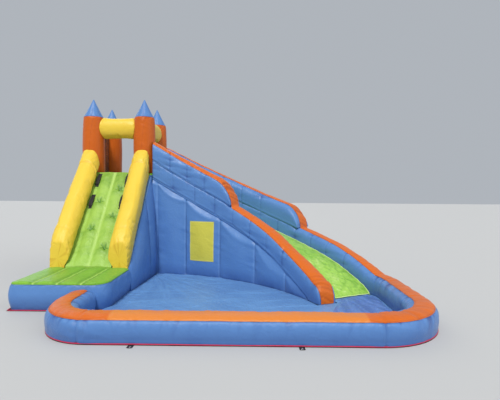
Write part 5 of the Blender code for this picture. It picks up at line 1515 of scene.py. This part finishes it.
def make_tower():
    """The tower's envelope: upright panels on every side, with the deck on top and webs inside."""
    line = fine_loop(rounded_loop(tower_half_width, tower_half_depth, tower_corner, 7), 0.017)
    z = places(bed_height, tower_top, 0.018)
    grid = np.zeros((len(z), len(line), 3))
    grid[..., :2], grid[..., 2] = line[None], z[:, None]
    x, y, height = np.moveaxis(grid, -1, 0)
    foot, head = height - bed_height, tower_top - height
    on_side = np.abs(x) > tower_half_width - 0.004
    across = np.where(on_side, y / tower_half_depth, x / tower_half_width)
    size = np.where(on_side, tower_half_depth, tower_half_width)
    off, mark = -0.02 + 0.036 * np.abs(np.sin(math.pi * 1.5 * (across + 1))) ** 0.6, 0 * x
    off *= np.clip((1 - np.abs(across)) * 8, 0, 1)
    for k, s in enumerate((-1 / 3, 1 / 3)):
        away = (across - s) * size
        off += seam(away, height, grid, 0.004, 0.012, 0.0045, 0.045, 0.08, 701 + k)
        mark += bell(away, 0.006)
    run = lengths(grid, 1)
    off += 0.0045 * folds(foot, run, grid, 0.05, 0.08, 705)
    off += 0.0045 * folds(head, run, grid, 0.05, 0.09, 706)
    off += 0.004 * lumps(grid, 0.3, 707) + 0.0015 * lumps(grid, 0.1, 708)
    joined = (x > tower_half_width - 0.02) | (y < -tower_half_depth + 0.02)
    off = np.where(joined, np.minimum(off, 0) - 0.002, np.minimum(off, 0.017))
    port = np.hypot(x / 0.075, (height - outlet_height) / 0.065)
    zip_spot = np.hypot((x - zip_x) / (zip_reach + 0.02), (height - zip_height) / 0.03)
    hold = np.where(y > tower_half_depth - 0.02, ease(np.minimum(port, zip_spot) - 0.9), 1)
    off = off * hold - 0.0015 * (1 - hold)
    off *= ease(foot / 0.01) * ease(head / 0.01)
    padded_skin("tower_body", grid + out_of(grid) * off[..., None], "blue",
                {"fold": np.clip(0.6 * mark, 0, 1)})
    channel_pad("deck_pad", tower_half_width, (tower_front_y, tower_half_depth),
                tower_top + seam_gap, deck_height, deck_crown, ((tower_corner,) * 2,) * 2, 640)
    low, high, reach = bed_height + 0.18, tower_top - 0.18, tower_half_depth - 0.03
    holes = [circle(0.09, 24) + [s, (low + high) / 2] for s in (-reach / 2, reach / 2)]
    for k, place in enumerate((-tower_half_width / 2, 0.0, tower_half_width / 2), 1):
        web = cut_cloth(
            f"tower_web_{k}", ((-reach, low), (reach, low), (reach, high), (-reach, high)), 0.05,
            lambda flat, off, run: (0.006 * lumps(in_space(flat), 0.4, 720), 0 * off), 0.0012,
            "blue_cloth", holes, lambda p: np.column_stack([place + p[:, 2], p[:, 0], p[:, 1]]))
        dress(web, "blue_fabric", ["tower_baffles"], flat=(2 * reach, high - low),
              on="tower_body_skin")


# Posts, spires, beams and net


def turned_grid(profile, columns, spot):
    a = np.arange(columns) * 2 * math.pi / columns
    r, h = profile.T
    return np.stack([spot[0] + r[:, None] * np.cos(a), spot[1] + r[:, None] * np.sin(a),
                     spot[2] + h[:, None] + 0 * a], -1)


post_shares = ((0.94, 0.0), (1.0, 0.06), (1.0, 0.5), (0.96, 0.86), (0.91, 1.0))
spire_shares = ((1.0, 0.0), (0.98, 0.04), (0.52, 0.5), (0.12, 0.93), (0.05, 1.0))


def post_radius_at(height):
    table = np.array(post_shares)
    return post_radius * np.interp((height - post_foot) / post_height, table[:, 1], table[:, 0])


def make_posts():
    """Four posts with a spire on each."""
    base = smooth_line(post_shares, 16) * [post_radius, post_height]
    base = np.vstack([base[:1], base[0] + (base[1] - base[0]) * 0.4, base[1:]])
    tip = smooth_line(spire_shares, 10) * [spire_radius, spire_height]
    for number, (name, right, back) in enumerate((("front_left", -1, -1), ("front_right", 1, -1),
                                                  ("back_left", -1, 1), ("back_right", 1, 1))):
        x, y, seed = right * post_spread, back * post_spread, 800 + 20 * number
        grid = turned_grid(base, 72, (x, y, post_foot))
        around, height = lengths(grid, 1), grid[..., 2]
        foot, head = height - post_foot, post_top - height
        low, high = ((away, around, grid, 0.036, reach, seed + k)
                     for k, (away, reach) in enumerate(((foot, 0.08), (head, 0.07))))
        off = 0.005 * folds(*low) * ease(foot / 0.015)
        off += 0.005 * folds(*high) * ease(head / 0.012)
        off += 0.003 * lumps(grid, 0.25, seed + 2) + 0.0012 * lumps(grid, 0.09, seed + 3)
        # Painted shade where the post meets the deck and the spire, with darker seam lines
        mark = 0.7 * bell(foot, 0.01) + 0.7 * bell(head, 0.008)
        for k, spot in enumerate((0.25, 0.75)):
            away = around - spot * 2 * math.pi * post_radius
            off += seam(away, height, grid, 0.0035, 0.007, 0.0025, 0.04, 0.04, seed + 5 + k)
            mark += 0.5 * bell(away, 0.005)
        off = np.minimum(off - 0.001, 0.005)
        # and painted shade in the fold troughs
        fold = np.clip(0.4 * mark + 0.5 * pinched(*low) + 0.4 * pinched(*high), 0, 1)
        padded_skin(f"post_{name}", grid + out_of(grid) * off[..., None], "orange",
                    {"fold": fold, "held": held_rows(off)})
        grid = turned_grid(tip, 64, (x, y, post_top + seam_gap))
        angle = np.arctan2(grid[..., 1] - y, grid[..., 0] - x)
        foot = grid[..., 2] - post_top
        rise, gore = foot / spire_height, np.abs(np.sin(3 * (angle + 0.4)))
        off = -0.006 * (1 - gore) ** 3 * ease(rise / 0.05) * (1 - rise * 0.7)
        off += 0.0035 * folds(foot, angle * spire_radius, grid, 0.03, 0.05, seed + 9)
        off += 0.0015 * lumps(grid, 0.1, seed + 10)
        off *= ease(rise / 0.03)
        # Painted shade in the drawn-in gores and where the spire meets its post
        padded_skin(f"spire_{name}", grid + out_of(grid) * off[..., None], "blue",
                    {"fold": 0.45 * (1 - gore) ** 6 + 0.5 * bell(rise, 0.03)}, (0.0, 0.004))


def make_beams():
    """Beams over the climbing side and the slide, drawn in where they meet their posts."""
    a, full = np.arange(64) * 2 * math.pi / 64, math.pi / 2 * 0.94
    w = np.sin(np.linspace(-1, 1, 49) * math.pi / 2 * 0.94) / math.sin(full)
    deep, tall = beam_half_depth * np.cos(a), beam_half_height * np.sin(a)
    radius = post_radius_at(beam_height + tall) + 2 * seam_gap + 0.006
    reach = post_spread - np.sqrt(radius**2 - deep**2)
    across = w[:, None] * reach[None]
    away = reach[None] - np.abs(across)
    for name, along, aside, seed in (("beam_front", (1.0, 0, 0), (0, -1.0, 0), 900),
                                     ("beam_right", (0, 1.0, 0), (1.0, 0, 0), 910)):
        grid = ((post_spread + deep)[None, :, None] * np.array(aside)
                + across[..., None] * np.array(along)
                + (beam_height + tall)[None, :, None] * np.array([0, 0, 1.0]))
        off = 0.0045 * folds(away, lengths(grid, 1), grid, 0.03, 0.06, seed)
        off *= ease(away / 0.01)
        off += 0.0025 * lumps(grid, 0.2, seed + 1) + 0.001 * lumps(grid, 0.08, seed + 2)
        off -= 0.006 * bell(away, 0.012)
        # Painted shade where the beam is drawn in at its posts
        padded_skin(name, grid + out_of(grid) * off[..., None], "yellow",
                    {"fold": 0.6 * bell(away, 0.008), "held": held_rows(off)})


def make_net():
    """The fine safety net on the closed side, with a webbing border."""
    half, radius, side = post_spread - post_radius - seam_gap, 0.0017, np.array([1.0, 0, 0])
    low, high = post_foot + 0.001, post_foot + net_height
    corners = ((radius, 0), (0, radius), (-radius, 0), (0, -radius))

    def strand(*ends):
        line = np.linspace(*ends, 5)
        way = line[-1] - line[0]
        up = np.cross(way / np.linalg.norm(way), side)
        line[:, 0] -= 0.012 * np.sin(math.pi * (line[:, 2] - low) / (high - low)) * np.cos(
            math.pi * line[:, 1] / (2 * half))
        return [[p + side * u + up * v for u, v in corners] for p in line]

    strands = [strand((-post_spread, y, low), (-post_spread, y, high))
               for y in np.linspace(-half + 0.004, half - 0.004, 43)]
    strands += [strand((-post_spread, -half, z), (-post_spread, half, z))
                for z in np.linspace(low + 0.004, high - 0.004, 59)]
    dress(prisms("net_left_mesh", strands, "web_cloth"), "black_webbing", ["net_left"],
          on="post_front_left_skin", flat=(2 * half, high - low),
          area=0.62 * 2 * half * (high - low))
    y = np.linspace(-half, half, 20)
    for name, z in (("net_hem_low", low + 0.01), ("net_hem_high", high - 0.01)):
        grid = np.stack([np.column_stack([0 * y - post_spread - 0.003, y, 0 * y + (z + s)])
                         for s in (-0.01, -0.006, 0.0, 0.006, 0.01)], axis=1)
        grid[..., 0] += 0.0008 * lumps(grid, 0.03, 931)
        hem = slab(name, grid, 0.0062, "web_cloth", outward=0 * grid + side)
        dress(hem, "black_webbing", flat=(0.02, 2 * half), on="net_left_mesh")


# Zip, sleeve and blower


def make_zip():
    """The zip of the deflation port: woven tape and two rows of teeth."""
    left, z, face = zip_x - zip_reach, zip_height, tower_half_depth + seam_gap
    x = np.linspace(left, zip_x + zip_reach, 50)[:, None]
    v = np.array([-0.017, -0.014, -0.009, -0.005, 0.0, 0.005, 0.009, 0.014, 0.017])
    away = face + 0.0004 + 0.0005 * np.abs(v / 0.017)
    grid = np.stack(np.broadcast_arrays(x, away, z + v[None]), -1)
    grid[..., 1] += 0.0005 * (1 + lumps(grid, 0.02, 941))
    tape = slab("zip_tape_cloth", grid, 0.0012, "web_cloth", outward=0 * grid + [0, 1.0, 0])
    dress(tape, "black_webbing", ["zip_tape"], flat=(0.034, 0.34), on="tower_body_skin")
    teeth = []
    for k in range(84):
        low, high = (z - 0.0012, z + 0.0036) if k % 2 else (z - 0.0036, z + 0.0012)
        edge = ((0.0015, low), (0.005, low), (0.0055, (low + high) / 2), (0.005, high),
                (0.0015, high))
        teeth.append([[(left + 0.004 + k * 0.004 + side, face + out, height)
                       for out, height in edge] for side in (-0.0011, 0.0011)])
    dress(prisms("zip_teeth_row", teeth, "black_shell", 30), "black_plastic")


def duct_ring(grow, columns=56):
    """A rounded section round the blower's duct."""
    loop = rounded_loop(0.064 + grow, 0.054 + grow, 0.008 + grow, 5) + [0, outlet_height]
    edge = np.vstack([loop, loop[:1]])
    run = np.concatenate([[0], np.cumsum(np.linalg.norm(np.diff(edge, axis=0), axis=1))])
    at = np.linspace(0, run[-1], columns + 1)[:-1]
    return np.column_stack([np.interp(at, run, side) for side in edge.T])


def duct_grid(y, ring):
    """The same section round the duct at each place along it."""
    grid = np.zeros((len(y), len(ring), 3))
    grid[..., [0, 2]], grid[..., 1] = ring[None], y[:, None]
    return grid


def make_sleeve():
    """The fabric sleeve from the tower to the blower, gathered under its strap."""
    front, back = tower_half_depth + seam_gap, blower_y - drum_radius - 0.045
    strap_y, y = back - 0.05, places(front, back, 0.006)
    outer = duct_grid(y, duct_ring(0.0036))
    out, along, around = out_of(outer) * [1, 0, 1], outer[..., 1], lengths(outer, 1)
    swell = 0.006 * np.sin(math.pi * np.clip((along - front) / (strap_y - front), 0, 1))
    gather = 0.0028 * folds(strap_y - 0.004 - along, around, outer, 0.016, 0.09, 951)
    off = (swell + gather + 0.002) * ease((strap_y - 0.01 - along) / 0.05)
    tail = ease((along - strap_y - 0.028) / 0.01)
    off += tail * (0.0015 + 0.0022 * folds(0 * around, around, outer, 0.018, 1.0, 952))
    outer = outer + out * np.clip(off, 0.0, 0.009)[..., None]
    ring = np.concatenate([outer, duct_grid(y, duct_ring(0.0012))[::-1]])
    item = closed_skin("inflation_sleeve_cloth", ring, "blue_cloth", {"crease": 0 * ring[..., 0]})
    dress(item, "blue_fabric", ["inflation_sleeve"], flat=(0.46, float(back - front)),
          held="gathered", rests_on=["blower_outlet"])
    loop = duct_ring(0.0046, 72)
    grid = duct_grid(np.linspace(strap_y, strap_y + 0.025, 7), np.vstack([loop, loop[:1]]))
    away = (grid - [0, 0, outlet_height]) * [1, 0, 1]
    away /= np.linalg.norm(away, axis=2, keepdims=True)
    strap = slab("sleeve_strap_web", grid, 0.0022, "web_cloth", outward=away)
    dress(strap, "black_webbing", ["sleeve_strap"], flat=(0.025, 0.48), on="inflation_sleeve_cloth")
    buckle = add_shape(bpy.ops.mesh.primitive_cube_add, (0.034, 0.031, 0.006), 0.0015, size=1,
                       location=(0.03, strap_y + 0.0125, outlet_height + 0.0635))
    settle(buckle, "strap_buckle", "black_shell", "black_plastic")


def make_blower_details():
    """Screws round the drum, cooling ribs on the motor and ring wires on the grille."""
    centre = np.array([0, blower_y, drum_height])
    on_grille = centre + [drum_half_width + 0.0075, 0, 0]
    for name, count, first, x, reach, radius in (
            ("shell", 6, 20, drum_half_width + 0.001, drum_radius - 0.014, 0.004),
            ("grille", 4, 45, drum_half_width + 0.0062, 0.08, 0.0032)):
        for k in range(count):
            a = math.radians(first + 360 / count * k)
            head = add_shape(bpy.ops.mesh.primitive_uv_sphere_add, (0.45, 1.0, 1.0), segments=16,
                             ring_count=8, radius=radius,
                             location=centre + [x, reach * math.cos(a), reach * math.sin(a)])
            settle(head, f"{name}_screw_{k + 1}", "bright_steel", "steel")
    for k, radius in enumerate((0.018, 0.036, 0.054), 1):
        ring = add_shape(bpy.ops.mesh.primitive_torus_add, (1.0, 1.0, 0.8), major_segments=40,
                         minor_segments=8, major_radius=radius, minor_radius=0.0018,
                         rotation=(0, math.pi / 2, 0), location=on_grille)
        settle(ring, f"grille_ring_{k}", "bright_steel", "steel")
    near, ribs = -drum_half_width - 0.01, []
    for a in 2 * math.pi * np.arange(20) / 20:
        out, side = np.array([[0, math.cos(a), math.sin(a)], [0, -math.sin(a), math.cos(a)]])
        ribs.append([[centre + [x, 0, 0] + out * r + side * w for r, w in (
            (0.0545, 0.0022), (0.06, 0.0013), (0.06, -0.0013), (0.0545, -0.0022))]
            for x in (near, near - 0.072)])
    dress(prisms("motor_cooling_ribs", ribs, "black_shell", 30), "black_plastic")


def dress_kept_nodes():
    """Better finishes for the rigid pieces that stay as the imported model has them."""
    for finish, names in {
            "grey_shell": ("blower_shell_left", "blower_shell_right", "blower_outlet"),
            "black_shell": ("blower_stand", "impeller", "motor", "blower_grip", "switch_box",
                            "cable_gland"),
            "orange_shell": ("rocker",),
            "bright_steel": ("motor_shaft", "intake_grille", "zip_slider")}.items():
        for name in names:
            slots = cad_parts[name].data.materials
            slots.clear()
            slots.append(bpy.data.materials[finish])


def blow_up(names, frames=20, cap=0.009):
    """Fills skins with air by cloth simulation, held along their sewn ends."""
    pieces = [bpy.data.objects[name] for name in names]
    for item in pieces:
        held = np.zeros(len(item.data.vertices), np.float32)
        item.data.attributes["held"].data.foreach_get("value", held)
        group = item.vertex_groups.new(name="held")
        group.add(np.nonzero(held > 0.5)[0].tolist(), 1.0, "REPLACE")
        cloth = item.modifiers.new("air", "CLOTH")
        for key, value in {"quality": 6, "mass": 0.25, "tension_stiffness": 20,
                           "compression_stiffness": 20, "shear_stiffness": 8,
                           "bending_stiffness": 0.25, "shrink_min": -0.022, "use_pressure": True,
                           "uniform_pressure_force": 4.0, "vertex_group_mass": "held"}.items():
            setattr(cloth.settings, key, value)
        cloth.settings.effector_weights.gravity = 0
        cloth.collision_settings.use_collision = False
        cloth.point_cache.frame_end = frames
    for step in range(1, frames + 1):
        bpy.context.scene.frame_set(step)
    solved = bpy.context.evaluated_depsgraph_get()
    for item in pieces:
        before, after = np.zeros((2, len(item.data.vertices) * 3))
        item.data.vertices.foreach_get("co", before)
        item.evaluated_get(solved).data.vertices.foreach_get("co", after)
        move = (after - before).reshape(-1, 3)
        far = np.linalg.norm(move, axis=1, keepdims=True)
        move *= np.minimum(1, cap / np.maximum(far, 1e-9))
        item.modifiers.remove(item.modifiers["air"])
        item.vertex_groups.clear()
        item.data.vertices.foreach_set("co", before + move.ravel())
        item.data.update()
    bpy.context.scene.frame_set(1)


# Camera, floor and light


def make_camera():
    """The camera that was fitted to the photograph."""
    place, yaw, pitch, roll = Vector((2.1245, -6.578, 1.35)), 0.0101, 0.0325 - 0.00127, 0.007
    level = Vector((-math.sin(yaw), math.cos(yaw), 0))
    right = Vector((math.cos(yaw), math.sin(yaw), 0))
    ahead = level * math.cos(pitch) - Vector((0, 0, math.sin(pitch)))
    up = level * math.sin(pitch) + Vector((0, 0, math.cos(pitch)))
    across = right * math.cos(roll) + up * math.sin(roll)
    over = up * math.cos(roll) - right * math.sin(roll)
    data = bpy.data.cameras.new("photo_view")
    data.lens, data.sensor_width = 28.27, 36.0
    camera = bpy.data.objects.new("photo_view", data)
    bpy.context.scene.collection.objects.link(camera)
    camera.matrix_world = Matrix((
        (across.x, over.x, -ahead.x, place.x), (across.y, over.y, -ahead.y, place.y),
        (across.z, over.z, -ahead.z, place.z), (0, 0, 0, 1)))
    bpy.context.scene.camera = camera


def make_studio():
    """A plain pale floor, a pale sky and three soft suns."""
    clear_choice()
    bpy.ops.mesh.primitive_plane_add(size=60, location=(1.7, -1, -0.0005))
    floor = bpy.context.object
    floor.name = "studio_floor"
    material = bpy.data.materials.new("pale_floor")
    material.use_nodes = True
    shader = material.node_tree.nodes["Principled BSDF"]
    shader.inputs["Base Color"].default_value = (0.5, 0.51, 0.52, 1)
    shader.inputs["Roughness"].default_value = 0.9
    floor.data.materials.append(material)
    scene = bpy.context.scene
    scene.world = bpy.data.worlds.new("studio_sky")
    scene.world.use_nodes = True
    sky = scene.world.node_tree.nodes["Background"].inputs
    sky["Color"].default_value, sky["Strength"].default_value = (0.86, 0.92, 1.0, 1), 0.5
    for name, energy, angle, toward, colour in (
            ("key_light", 2.7, 0.2, (-0.1, -0.66, 0.78), (1.0, 0.95, 0.87)),
            ("side_light", 0.55, 0.9, (0.85, -0.25, 0.45), (0.92, 0.96, 1.0)),
            ("back_light", 0.45, 0.9, (-0.4, 0.75, 0.5), (0.92, 0.96, 1.0))):
        data = bpy.data.lights.new(name, "SUN")
        data.energy, data.angle, data.color = energy, angle, colour
        light = bpy.data.objects.new(name, data)
        light.rotation_mode = "QUATERNION"
        light.rotation_quaternion = Vector(toward).to_track_quat("Z", "Y")
        scene.collection.objects.link(light)
    scene.view_settings.view_transform = "Standard"


for make in (make_finishes, make_camera, make_studio, make_guards, make_welts, make_blocks,
             make_patch, make_lane, make_rim, make_pool_floor, make_splash_mat,
             make_ground_sheet, make_piping, make_climb_body, make_ramp, make_rails,
             make_handles, make_platform, make_tower, make_posts, make_beams, make_net,
             make_zip, make_sleeve, make_blower_details, dress_kept_nodes):
    make()

blow_up([name + "_skin" for name in (
    "rail_left", "rail_right", "beam_front", "beam_right",
    "post_front_left", "post_front_right", "post_back_left", "post_back_right")])
